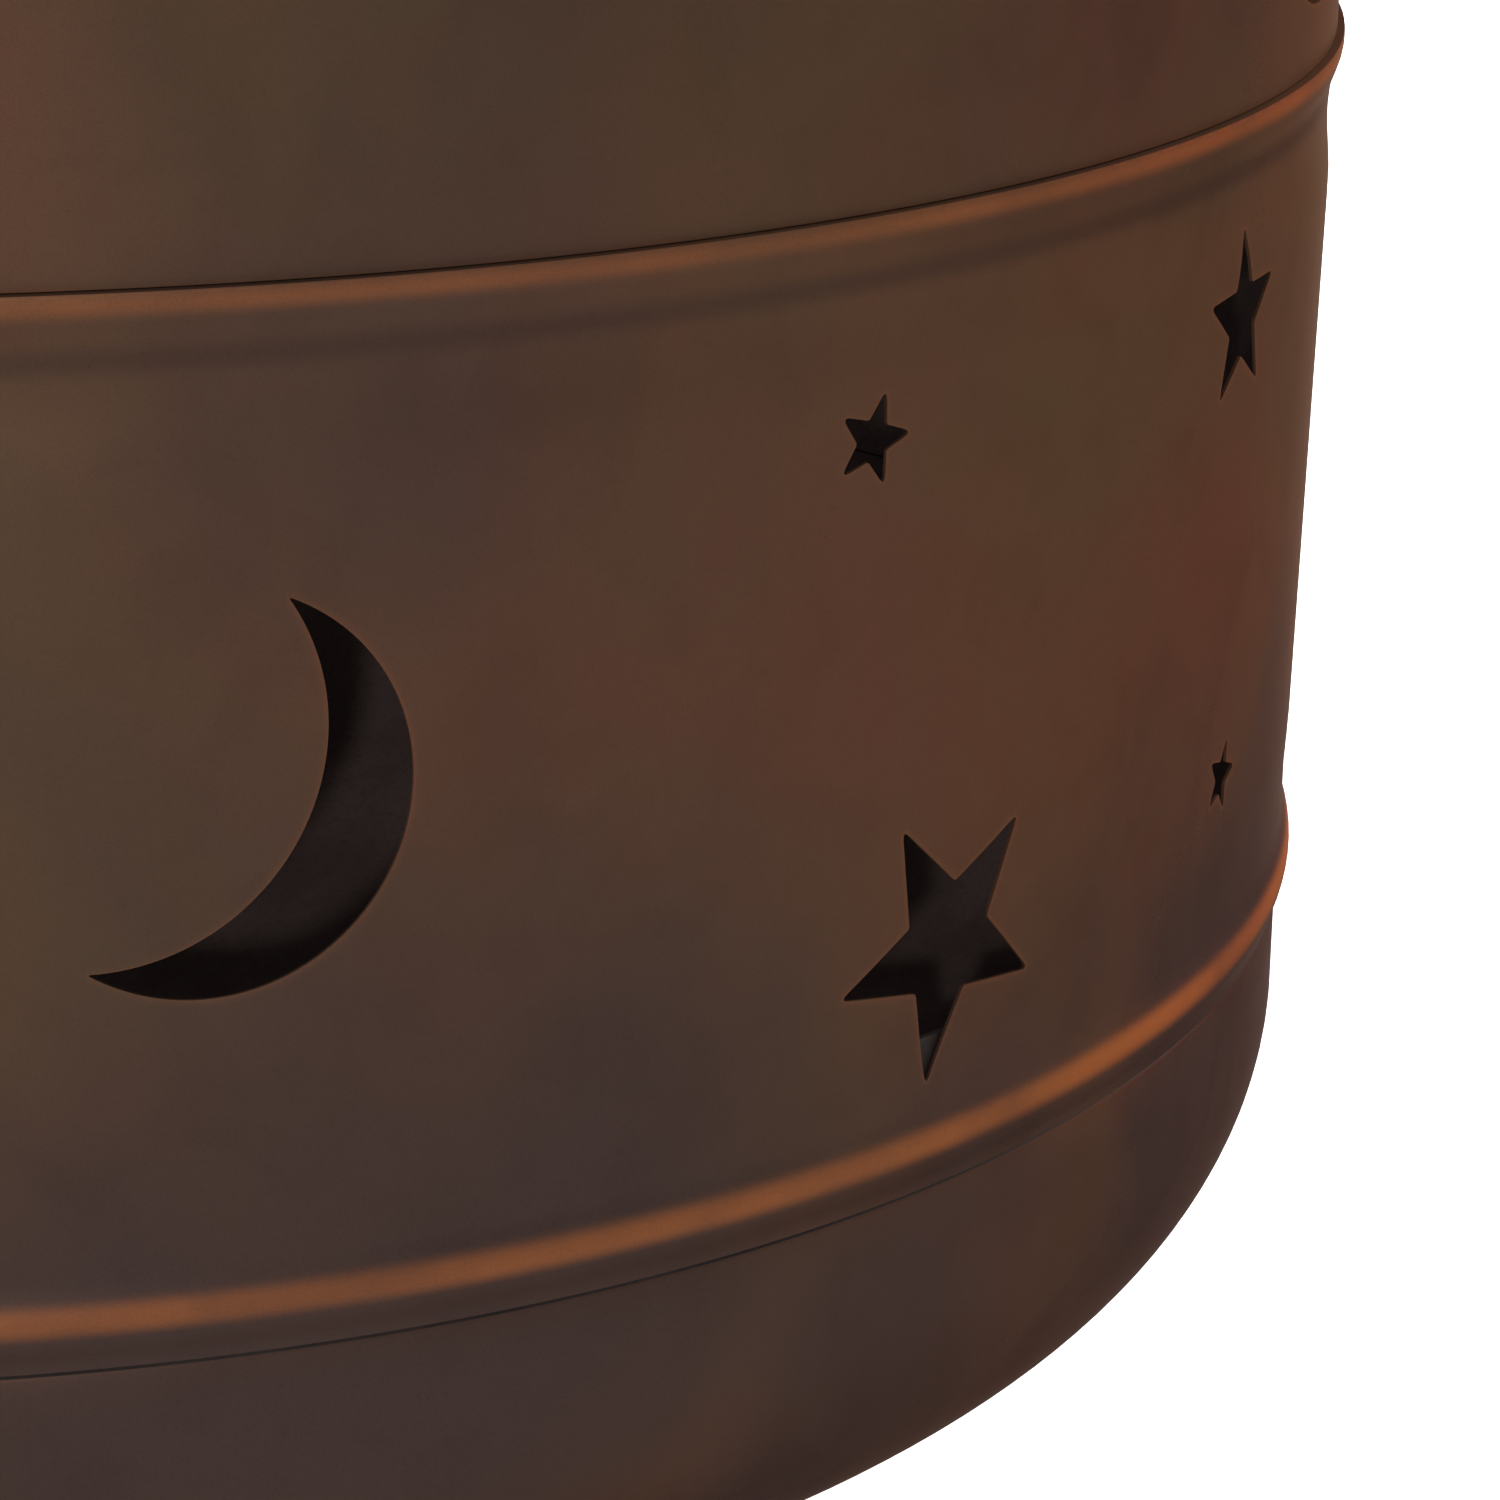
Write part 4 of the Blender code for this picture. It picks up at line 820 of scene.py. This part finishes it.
# ---- The bowl, the hood, the chimney and the cap ----
def make_bowl():
    """The dished fire bowl, with a neck that goes up inside the band."""
    end_radius = BOWL_RADIUS - KNUCKLE_RADIUS * (1 - math.cos(math.radians(KNUCKLE_ANGLE)))
    crown_radius = end_radius / math.cos(math.radians(KNUCKLE_ANGLE))
    end_z = SEAM_Z - BOWL_RIM_DEPTH - KNUCKLE_RADIUS * math.sin(math.radians(KNUCKLE_ANGLE))
    centre_z = end_z + crown_radius * math.sin(math.radians(KNUCKLE_ANGLE))
    crown_angle = math.degrees(math.asin(end_radius / crown_radius))
    side = []
    for angle in spread(0.0, crown_angle, 36):
        a = math.radians(angle)
        side.append((crown_radius * math.sin(a), centre_z - crown_radius * math.cos(a)))
    for angle in spread(KNUCKLE_ANGLE, 0.0, 30)[1:]:
        a = math.radians(angle)
        side.append((BOWL_RADIUS - KNUCKLE_RADIUS * (1 - math.cos(a)),
                     SEAM_Z - BOWL_RIM_DEPTH - KNUCKLE_RADIUS * math.sin(a)))
    side.append((BOWL_RADIUS, SEAM_Z - BOWL_RIM_DEPTH / 2))
    side.append((BOWL_RADIUS, SEAM_Z - 0.0014))
    side.append((BOWL_RADIUS - 0.0003, SEAM_Z - 0.0009))
    neck_radius = band_radius(0.0) - SHEET - GAP
    side.append((neck_radius, SEAM_Z - 0.0001))
    side.append((neck_radius, SEAM_Z + BOWL_NECK_HEIGHT))
    rub = [0.0] * (len(side) - 4) + [0.12, 0.2, 0.0, 0.0]
    # The neck's outer face, hidden up inside the band, gets the near-black third skin: painted shade.
    turned_sheet("bowl", side, rub, ["fire_bowl"], skins=[PATINA, INSIDE, NEAR_BLACK_SHADE])


def make_hood():
    """The bell-shaped hood, up to the collar that carries the chimney."""
    side = [(SHELL_RADIUS, HOOD_Z), (SHELL_RADIUS, HOOD_Z + HOOD_SKIRT)]
    rub = [0.35, 0.0]
    collar_z = HOOD_TOP_Z - COLLAR_HEIGHT
    rise = collar_z - HOOD_Z - HOOD_SKIRT
    for share in spread(0.0, 1.0, 48)[1:]:
        blend = 0.5 + 0.5 * math.cos(math.pi * share ** 1.12)
        side.append((COLLAR_RADIUS + (SHELL_RADIUS - COLLAR_RADIUS) * blend,
                     HOOD_Z + HOOD_SKIRT + rise * share))
        rub.append(0.30 * bump(share - 0.06, 0.05))
    side.append((COLLAR_RADIUS, HOOD_TOP_Z))
    rub.append(0.0)
    turned_sheet("hood_skin", side, rub, ["hood"])


def make_pipe(name, node, base, top, with_neck):
    """One length of chimney with a rolled lower edge, the lower one with a neck for the next."""
    side = []
    rub = []
    top_bead = PIPE_BEAD if with_neck else TOP_PIPE_BEAD
    for h in spread(0.0, 0.0060, 8):
        side.append((PIPE_RADIUS + PIPE_BEAD * bump(h, 0.0058), base + h))
        rub.append(0.8 * bump(h - 0.0006, 0.0028))
    for h in spread(0.0060, top - base - 0.0080, 10)[1:]:
        side.append((PIPE_RADIUS, base + h))
        rub.append(0.0)
    for h in spread(0.0080, 0.0008, 8)[1:]:
        side.append((PIPE_RADIUS + top_bead * bump(h - 0.0024, 0.0050), top - h))
        rub.append(0.8 * bump(h - 0.0022, 0.0028))
    if with_neck:
        side += [(COLLAR_RADIUS, top - 0.0004), (COLLAR_RADIUS, top + COLLAR_HEIGHT)]
        rub += [0.0, 0.0]
    else:
        side.append((PIPE_RADIUS, top))
        rub.append(0.5)
    turned_sheet(name, side, rub, [node], sides=PIPE_SIDES)


def make_cap():
    """The rain cap: a shallow cone with a rolled rim and a soft crown."""
    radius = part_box("rain_cap")[1].x
    rise = CAP_HIGH_Z - CAP_LOW_Z - CAP_LIP
    edge_z = CAP_LOW_Z + CAP_LIP
    roll = CAP_ROLL
    side = [(radius - 2 * roll, CAP_LOW_Z + roll)]
    rub = [0.5]
    for angle in spread(180.0, 400.0, 14)[1:]:
        a = math.radians(angle)
        side.append((radius - roll + roll * math.cos(a), CAP_LOW_Z + roll + roll * math.sin(a)))
        rub.append(0.75)
    for share in spread(0.97, 0.0, 30):
        cone = edge_z + rise * (1 - share)
        side.append((radius * share, cone - rise * 0.07 * max(0.0, 1 - share / 0.25) ** 2))
        rub.append(0.55 * bump(share - 0.97, 0.04))
    outer, inner = thickened(side, SHEET)
    outline = [tuple(p) for p in outer][::-1] + [tuple(p) for p in inner]
    mesh, steps = lathe("cap", outline, PIPE_SIDES, closed=False)
    store_wear_and_shade(mesh, turned_wear(outline, rub[::-1] + [0.0] * len(inner), PIPE_SIDES))
    add_piece("cap", mesh, "cap", ["rain_cap"], [PATINA, NEAR_BLACK_SHADE])
    mesh.polygons.foreach_set("material_index", [1 if s >= len(outer) else 0 for s in steps])


make_bowl()
make_hood()
make_pipe("chimney_pipe_lower", "chimney_lower", LOWER_PIPE_Z, UPPER_PIPE_Z, True)
make_pipe("chimney_pipe_upper", "chimney_upper", UPPER_PIPE_Z, PIPE_TOP_Z, False)
make_cap()


# ---- Rods and wires ----
def tube(route, radius, sides=12, closed=False, points=None, faces=None):
    """A round rod along a route, with closed ends, added to lists of points and faces."""
    points = [] if points is None else points
    faces = [] if faces is None else faces
    run = [Vector(p) for p in route]
    count = len(run)
    base = len(points)
    across = None
    for k, place in enumerate(run):
        after = run[(k + 1) % count] if closed or k + 1 < count else place
        before = run[k - 1] if closed or k > 0 else place
        ahead = (after - before).normalized()
        if across is None:
            across = ahead.orthogonal().normalized()
        across = (across - ahead * across.dot(ahead)).normalized()
        third = ahead.cross(across)
        for s in range(sides):
            a = 2 * math.pi * s / sides
            points.append(tuple(place + (across * math.cos(a) + third * math.sin(a)) * radius))
    for k in range(count if closed else count - 1):
        j = (k + 1) % count
        for s in range(sides):
            t = (s + 1) % sides
            faces.append((base + k * sides + s, base + k * sides + t, base + j * sides + t,
                          base + j * sides + s))
    if not closed:
        faces.append(tuple(base + s for s in reversed(range(sides))))
        faces.append(tuple(base + (count - 1) * sides + s for s in range(sides)))
    return points, faces


def ring_route(radius, height, count):
    """Points around a level circle about the axis."""
    return [tuple(outward(360.0 * k / count) * radius + Vector((0, 0, height))) for k in range(count)]


def make_brace():
    """The rod ring between the legs."""
    low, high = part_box("brace_ring")
    rod = (high.z - low.z) / 2
    route = ring_route(high.x - rod, (low.z + high.z) / 2, 160)
    points, faces = tube(route, rod, 20, closed=True)
    mesh = mesh_from("brace", points, faces)
    store_wear_and_shade(mesh, [0.12] * len(points))
    add_piece("brace", mesh, "root", ["brace_ring"], [PATINA])


def make_grate():
    """The ring and rods that carry the logs."""
    low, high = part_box("log_grate")
    rod = GRATE_ROD
    ring_radius = high.y - rod
    bar_z = high.z - rod
    points, faces = tube(ring_route(ring_radius, low.z + rod, 120), rod, 16, closed=True)
    pitch = 2 * ring_radius / (GRATE_BARS + 1)
    for k in range(GRATE_BARS):
        y = -ring_radius + pitch * (k + 1)
        half = math.sqrt((ring_radius + BAR_OVERLAP) ** 2 - y ** 2)
        tube([(-half, y, bar_z), (half, y, bar_z)], rod, 16, points=points, faces=faces)
    mesh = mesh_from("grate", points, faces)
    add_piece("grate", mesh, "root", ["log_grate"], [IRON])


make_brace()
make_grate()


# ---- The door ----
def panel(name, half_angle, half_height, corner, edge, window_corner, radii):
    """The mesh of a curved frame around the door's window."""
    scale = radii[1]

    def outline(angle, height, round_by):
        flat = rounded_rectangle(math.radians(angle) * scale, height, round_by)
        return rounded([(x, DOOR_MIDDLE_Z + y) for x, y in flat], DOOR_TIP_ROUND)

    border = outline(half_angle, half_height, corner)
    window = outline(WINDOW_ANGLE, half_height - edge, window_corner)
    heights = [DOOR_MIDDLE_Z + h for h in spread(-half_height, half_height, 40)]
    reach = math.radians(half_angle) * scale
    verts, tris, _ = pierced_sector(-reach, 2 * reach, 64, heights, [window], keep_inside=border)
    nearness = np.abs(distance_to(verts, [window, border]))
    mesh, _ = sheet_mesh(name, [(verts, tris, nearness)], lambda z: radii[1], lambda z: 0.0,
                         no_rub, radii[1] - radii[0], scale)
    return mesh


def join_box(points, faces, frame_matrix, low, high):
    """Add a box in a local frame."""
    base = len(points)
    for x in (low[0], high[0]):
        for y in (low[1], high[1]):
            for z in (low[2], high[2]):
                points.append(tuple(frame_matrix @ Vector((x, y, z))))
    for quad in ((0, 1, 3, 2), (4, 6, 7, 5), (0, 4, 5, 1), (2, 3, 7, 6), (0, 2, 6, 4), (1, 5, 7, 3)):
        faces.append(tuple(base + k for k in quad))


def make_door():
    """The door's frame and the frame that clamps its screen."""
    half_height = (DOOR_HIGH_Z - DOOR_LOW_Z) / 2
    mesh = panel("door_face", FRAME_ANGLE, half_height, DOOR_CORNER, DOOR_EDGE, WINDOW_CORNER,
                 FRAME_RADII)
    add_piece("door_face", mesh, "door", ["door_frame"], [PATINA])
    low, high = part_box("door_retainer")
    retainer_half = (high.z - low.z) / 2
    mesh = panel("door_clamp", RETAINER_ANGLE, retainer_half, RETAINER_CORNER, RETAINER_EDGE,
                 RETAINER_WINDOW_CORNER, RETAINER_RADII)
    add_piece("door_clamp", mesh, "door", ["door_retainer"], [DARK_STEEL])
    make_screen(retainer_half - SCREEN_INSET)


def make_screen(half_height):
    """The door's woven spark screen, whose wires pass over and under each other."""
    half_arc = math.radians(RETAINER_ANGLE - SCREEN_INSET_ANGLE) * MESH_RADIUS
    arcs = spread(-half_arc, half_arc, round(2 * half_arc / WIRE_PITCH))
    levels = spread(-half_height, half_height, round(2 * half_height / WIRE_PITCH))
    points, faces = [], []

    def place(arc, height, side):
        out = outward(math.degrees(arc / MESH_RADIUS))
        return tuple(out * (MESH_RADIUS + side * WIRE_RADIUS) + Vector((0, 0, DOOR_MIDDLE_Z + height)))

    for i, arc in enumerate(arcs):
        route = []
        for j, level in enumerate(levels):
            route.append(place(arc, level, 1 if (i + j) % 2 else -1))
            if j + 1 < len(levels):
                route.append(place(arc, (level + levels[j + 1]) / 2, 0))
        tube(route, WIRE_RADIUS, 6, points=points, faces=faces)
    for j, level in enumerate(levels):
        route = []
        for i, arc in enumerate(arcs):
            route.append(place(arc, level, -1 if (i + j) % 2 else 1))
            if i + 1 < len(arcs):
                route.append(place((arc + arcs[i + 1]) / 2, level, 0))
        tube(route, WIRE_RADIUS, 6, points=points, faces=faces)
    mesh = mesh_from("door_screen", points, faces, 60.0)
    add_piece("door_screen", mesh, "door", ["door_mesh"], [DARK_STEEL])


make_door()


# ---- Small parts ----
def softened(name, node, body, mat, width=0.0003):
    """A copy of a CAD node with rounded edges."""
    bm = bmesh.new()
    bm.from_mesh(frame["nodes"][node].data)
    bmesh.ops.remove_doubles(bm, verts=bm.verts, dist=1e-6)
    bmesh.ops.dissolve_limit(bm, angle_limit=math.radians(1.0), verts=bm.verts, edges=bm.edges)
    bmesh.ops.recalc_face_normals(bm, faces=bm.faces)
    mesh = bpy.data.meshes.new(name)
    bm.to_mesh(mesh)
    bm.free()
    obj = add_piece(name, mesh, body, [node], [mat])
    for polygon in mesh.polygons:
        polygon.material_index = 0
    round_edges(obj, width)
    mesh.shade_smooth()
    mesh.set_sharp_from_angle(angle=math.radians(50.0))


def round_edges(obj, width):
    """Round the sharp edges of an object."""
    bevel = obj.modifiers.new("round_edges", "BEVEL")
    bevel.width = width
    bevel.segments = 2
    bevel.limit_method = "ANGLE"
    bevel.angle_limit = math.radians(40.0)


def spread_along(node, axis):
    """How far a node reaches along an axis: its lowest and highest place."""
    reach = [axis.dot(v.co) for v in frame["nodes"][node].data.vertices]
    return min(reach), max(reach)


def middle_of(node):
    """The middle of a node's box."""
    low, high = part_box(node)
    return (low + high) / 2


def facing(place, axis):
    """A frame at a place with local Z along an axis."""
    turn = axis.to_track_quat("Z", "Y").to_matrix().to_4x4()
    return Matrix.Translation(place) @ turn


def hexagon_head(name, radius, place):
    """The mesh of a hexagon head on a washer, at a frame."""
    rings = [(radius, 0.0, False), (radius, 0.22, False), (0.86 * radius, 0.34, False)]
    rings += [(0.74 * radius, 0.36, True), (0.74 * radius, 0.86, True), (0.62 * radius, 1.0, True)]
    steps = [2 * math.pi * k / HEAD_SIDES for k in range(HEAD_SIDES)]
    sixth = math.pi / 3
    bm = bmesh.new()
    loops = []
    for reach, share, six_sided in rings:
        flat = [reach] * HEAD_SIDES
        if six_sided:
            flat = [reach * math.cos(sixth / 2) / math.cos((a + sixth / 2) % sixth - sixth / 2)
                    for a in steps]
        loops.append([bm.verts.new((r * math.cos(a), r * math.sin(a), share * HEAD_HEIGHT))
                      for r, a in zip(flat, steps)])
    for low, high in zip(loops, loops[1:]):
        for k in range(HEAD_SIDES):
            j = (k + 1) % HEAD_SIDES
            bm.faces.new((low[k], low[j], high[j], high[k]))
    bm.faces.new(loops[-1])
    bm.faces.new(loops[0][::-1])
    bm.transform(place)
    mesh = bpy.data.meshes.new(name)
    bm.to_mesh(mesh)
    bm.free()
    mesh.shade_smooth()
    mesh.set_sharp_from_angle(angle=math.radians(30.0))
    return mesh


def make_ring_screws():
    """Hexagon-headed screws around the seams."""
    for node in frame["nodes"]:
        if not node.startswith(("bowl_screw", "band_screw", "hood_screw")):
            continue
        out = middle_of(node)
        height = out.z
        out.z = 0.0
        out.normalize()
        outer = spread_along(node, out)[1]
        low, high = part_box(node)
        radius = (high.z - low.z) / 2
        place = facing(out * (outer - HEAD_HEIGHT) + Vector((0, 0, height)), out)
        mesh = hexagon_head(node + "_head", radius, place)
        add_piece(node + "_head", mesh, "root", [node], [ZINC])


def make_handle():
    """The bent rod of the handle."""
    low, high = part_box("door_handle")
    out = outward(CLAMP_AZIMUTH)
    near, far = spread_along("door_handle", out)
    reach = far - HANDLE_ROD
    bottom, top = low.z + HANDLE_ROD, high.z - HANDLE_ROD
    corner = HANDLE_CORNER
    route = [(near, bottom)]
    for angle in spread(-90.0, 0.0, 12):
        a = math.radians(angle)
        route.append((reach - corner + corner * math.cos(a), bottom + corner + corner * math.sin(a)))
    route += [(x, bottom + top - z) for x, z in reversed(route)]
    spine = [tuple(out * x + Vector((0, 0, z))) for x, z in route]
    points, faces = tube(spine, HANDLE_ROD, 24)
    mesh = mesh_from("handle_rod", points, faces)
    add_piece("handle_rod", mesh, "door", ["door_handle"], [DARK_STEEL])
    make_grip(out, reach)


def make_grip(out, reach):
    """The coil spring around the handle's upright."""
    low, high = (end.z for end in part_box("handle_grip"))
    coil = GRIP_RADIUS - GRIP_WIRE
    length = high - low - 2 * GRIP_WIRE
    turns = int(length / (GRIP_PITCH * GRIP_WIRE))
    steps = 20
    across = Vector((-out.y, out.x, 0))
    spine = []
    for k in range(turns * steps + 1):
        a = 2 * math.pi * k / steps
        z = low + GRIP_WIRE + length * k / (turns * steps)
        place = out * (reach + coil * math.cos(a)) + across * (coil * math.sin(a))
        spine.append(tuple(place + Vector((0, 0, z))))
    points, faces = tube(spine, GRIP_WIRE, 8)
    mesh = mesh_from("spring_grip", points, faces, 60.0)
    add_piece("spring_grip", mesh, "door", ["handle_grip"], [ZINC])


def make_knuckles():
    """The door's hinge barrels and the leaves that join them to its frame."""
    out = outward(HINGE_AZIMUTH)
    turn = Matrix((Vector((-out.y, out.x, 0)), Vector((0, 0, 1)), out)).transposed().to_4x4()
    height, radius, chamfer = BARREL_HEIGHT, BARREL_RADIUS, BARREL_CHAMFER
    side = [(BARREL_BORE, 0.0), (radius - chamfer, 0.0), (radius, chamfer)]
    side += [(radius, height - chamfer), (radius - chamfer, height), (BARREL_BORE, height)]
    for level in ("lower", "upper"):
        pin = middle_of("hinge_pin_" + level)
        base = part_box("hinge_bracket_" + level)[1].z + BARREL_GAP
        mesh, _ = lathe("knuckle_" + level, side, 40)
        mesh.transform(Matrix.Translation((pin.x, pin.y, base)))
        store_wear_and_shade(mesh, [0.35] * len(mesh.vertices))
        add_piece("knuckle_" + level, mesh, "door", [], [PATINA])
        points, faces = [], []
        join_box(points, faces, Matrix.Translation((0, 0, base)) @ turn,
                 (BARREL_BORE, 0.0, FRAME_RADII[0]), (LEAF_LENGTH, height, FRAME_RADII[0] + LEAF_SHEET))
        mesh = mesh_from("leaf_" + level, points, faces)
        store_wear_and_shade(mesh, [0.2] * len(points))
        leaf = add_piece("leaf_" + level, mesh, "door", [], [PATINA])
        round_edges(leaf, 0.0005)


def make_feet():
    """Moulded foot pads with a groove around them."""
    for name in CORNERS:
        low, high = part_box("foot_pad_" + name)
        middle = (low + high) / 2
        radius = (high.x - low.x) / 2
        height = high.z
        side = [(0.0, 0.0006), (radius * 0.60, 0.0006), (radius * 0.66, 0.0), (radius - 0.0016, 0.0)]
        side += [(radius - 0.0005, 0.0004), (radius, 0.0013), (radius, 0.0018), (radius - 0.0006, 0.0022)]
        side += [(radius, 0.0026), (radius, height - 0.0006), (radius - 0.0006, height), (0.0, height)]
        mesh, _ = lathe("pad_" + name, side, 64, closed=False)
        mesh.transform(Matrix.Translation((middle.x, middle.y, 0.0)))
        add_piece("pad_" + name, mesh, "root", ["foot_pad_" + name], [RUBBER])


make_ring_screws()
make_handle()
make_knuckles()
make_feet()
for name in CORNERS:
    softened("leg_bar_" + name, "leg_" + name, "root", PATINA, 0.0008)
    softened("bolt_" + name, "leg_bolt_" + name, "root", DARK_STEEL, 0.0004)
    softened("nut_" + name, "leg_nut_" + name, "root", DARK_STEEL, 0.0006)
for level in ("lower", "upper"):
    softened("bracket_" + level, "hinge_bracket_" + level, "root", DARK_STEEL)
    softened("pin_" + level, "hinge_pin_" + level, "root", ZINC)
    softened("clamp_screw_" + level, "handle_screw_" + level, "door", ZINC)
    softened("clamp_rivet_" + level, "door_rivet_" + level, "door", ZINC)
softened("latch_arm", "latch_lever", "latch", DARK_STEEL)
softened("latch_stud", "latch_pin", "door", ZINC)
softened("keeper", "latch_keeper", "root", DARK_STEEL)
for k in (1, 2, 3):
    softened(f"strap_{k}", f"cap_strap_{k}", "cap", DARK_STEEL)
    softened(f"strap_rivet_{k}", f"cap_rivet_{k}", "cap", ZINC)

# ---- CAD nodes that are kept get the new materials ----
SLOT_MATERIALS = {"copper_patina": PATINA, "dark_steel": DARK_STEEL, "grate_iron": IRON,
                  "foot_rubber": RUBBER, "zinc_steel": ZINC}
for entry in frame["record"]["subparts"]:
    node = frame["nodes"][entry["node"]]
    for place in node.material_slots:
        place.material = SLOT_MATERIALS[entry["material_slot"]]


# ---- The stage ----
def make_stage():
    """A pale floor and a pale surround."""
    mesh = bpy.data.meshes.new("floor")
    corners = [(x * FLOOR_REACH, y * FLOOR_REACH, 0) for x, y in ((-1, -1), (1, -1), (1, 1), (-1, 1))]
    mesh.from_pydata(corners, [], [(0, 1, 2, 3)])
    floor = bpy.data.objects.new("floor", mesh)
    bpy.context.scene.collection.objects.link(floor)
    mat = bpy.data.materials.new("pale_floor")
    mat.use_nodes = True
    shader = mat.node_tree.nodes["Principled BSDF"]
    shader.inputs["Base Color"].default_value = (0.93, 0.93, 0.93, 1)
    shader.inputs["Roughness"].default_value = 0.9
    shader.inputs["Specular IOR Level"].default_value = 0.0
    mesh.materials.append(mat)
    world = bpy.data.worlds.new("surround")
    bpy.context.scene.world = world
    world.use_nodes = True
    backdrop = world.node_tree.nodes["Background"]
    backdrop.inputs["Color"].default_value = (1.0, 1.0, 1.0, 1)
    backdrop.inputs["Strength"].default_value = SURROUND_STRENGTH


def add_light(name, azimuth, size, power):
    """A broad soft light that faces the object."""
    data = bpy.data.lights.new(name, "AREA")
    data.shape = "RECTANGLE"
    data.size, data.size_y = size
    data.energy = power
    light = bpy.data.objects.new(name, data)
    bpy.context.scene.collection.objects.link(light)
    place = outward(azimuth) * LIGHT_DISTANCE + Vector((0, 0, LIGHT_HEIGHT))
    aim(light, place, LIGHT_AIM - place, Vector((0, 0, 1)))


def add_front_light():
    """A small lamp beside the camera, aimed at the band, that lights the inside through the moon."""
    camera = bpy.context.scene.camera
    right, up = (camera.matrix_world.to_3x3().col[k] for k in (0, 1))
    left, down = FRONT_LIGHT_OFFSET
    place = camera.matrix_world.translation - right * left - up * down
    data = bpy.data.lights.new("front_light", "SPOT")
    data.energy = FRONT_LIGHT_POWER
    data.shadow_soft_size = FRONT_LIGHT_RADIUS
    data.spot_size = math.radians(FRONT_LIGHT_ANGLE)
    data.spot_blend = 1.0
    lamp = bpy.data.objects.new("front_light", data)
    bpy.context.scene.collection.objects.link(lamp)
    band = outward(FRONT_LIGHT_AZIMUTH) * BODY_RADIUS + Vector((0, 0, SEAM_Z + FRONT_LIGHT_RISE))
    aim(lamp, place, band - place, Vector((0, 0, 1)))


make_stage()
add_light("left_light", -92.0, (2.0, 2.4), 70.0)
add_light("right_light", 99.0, (2.8, 2.6), 250.0)
add_front_light()
bpy.context.scene.view_settings.view_transform = "Standard"
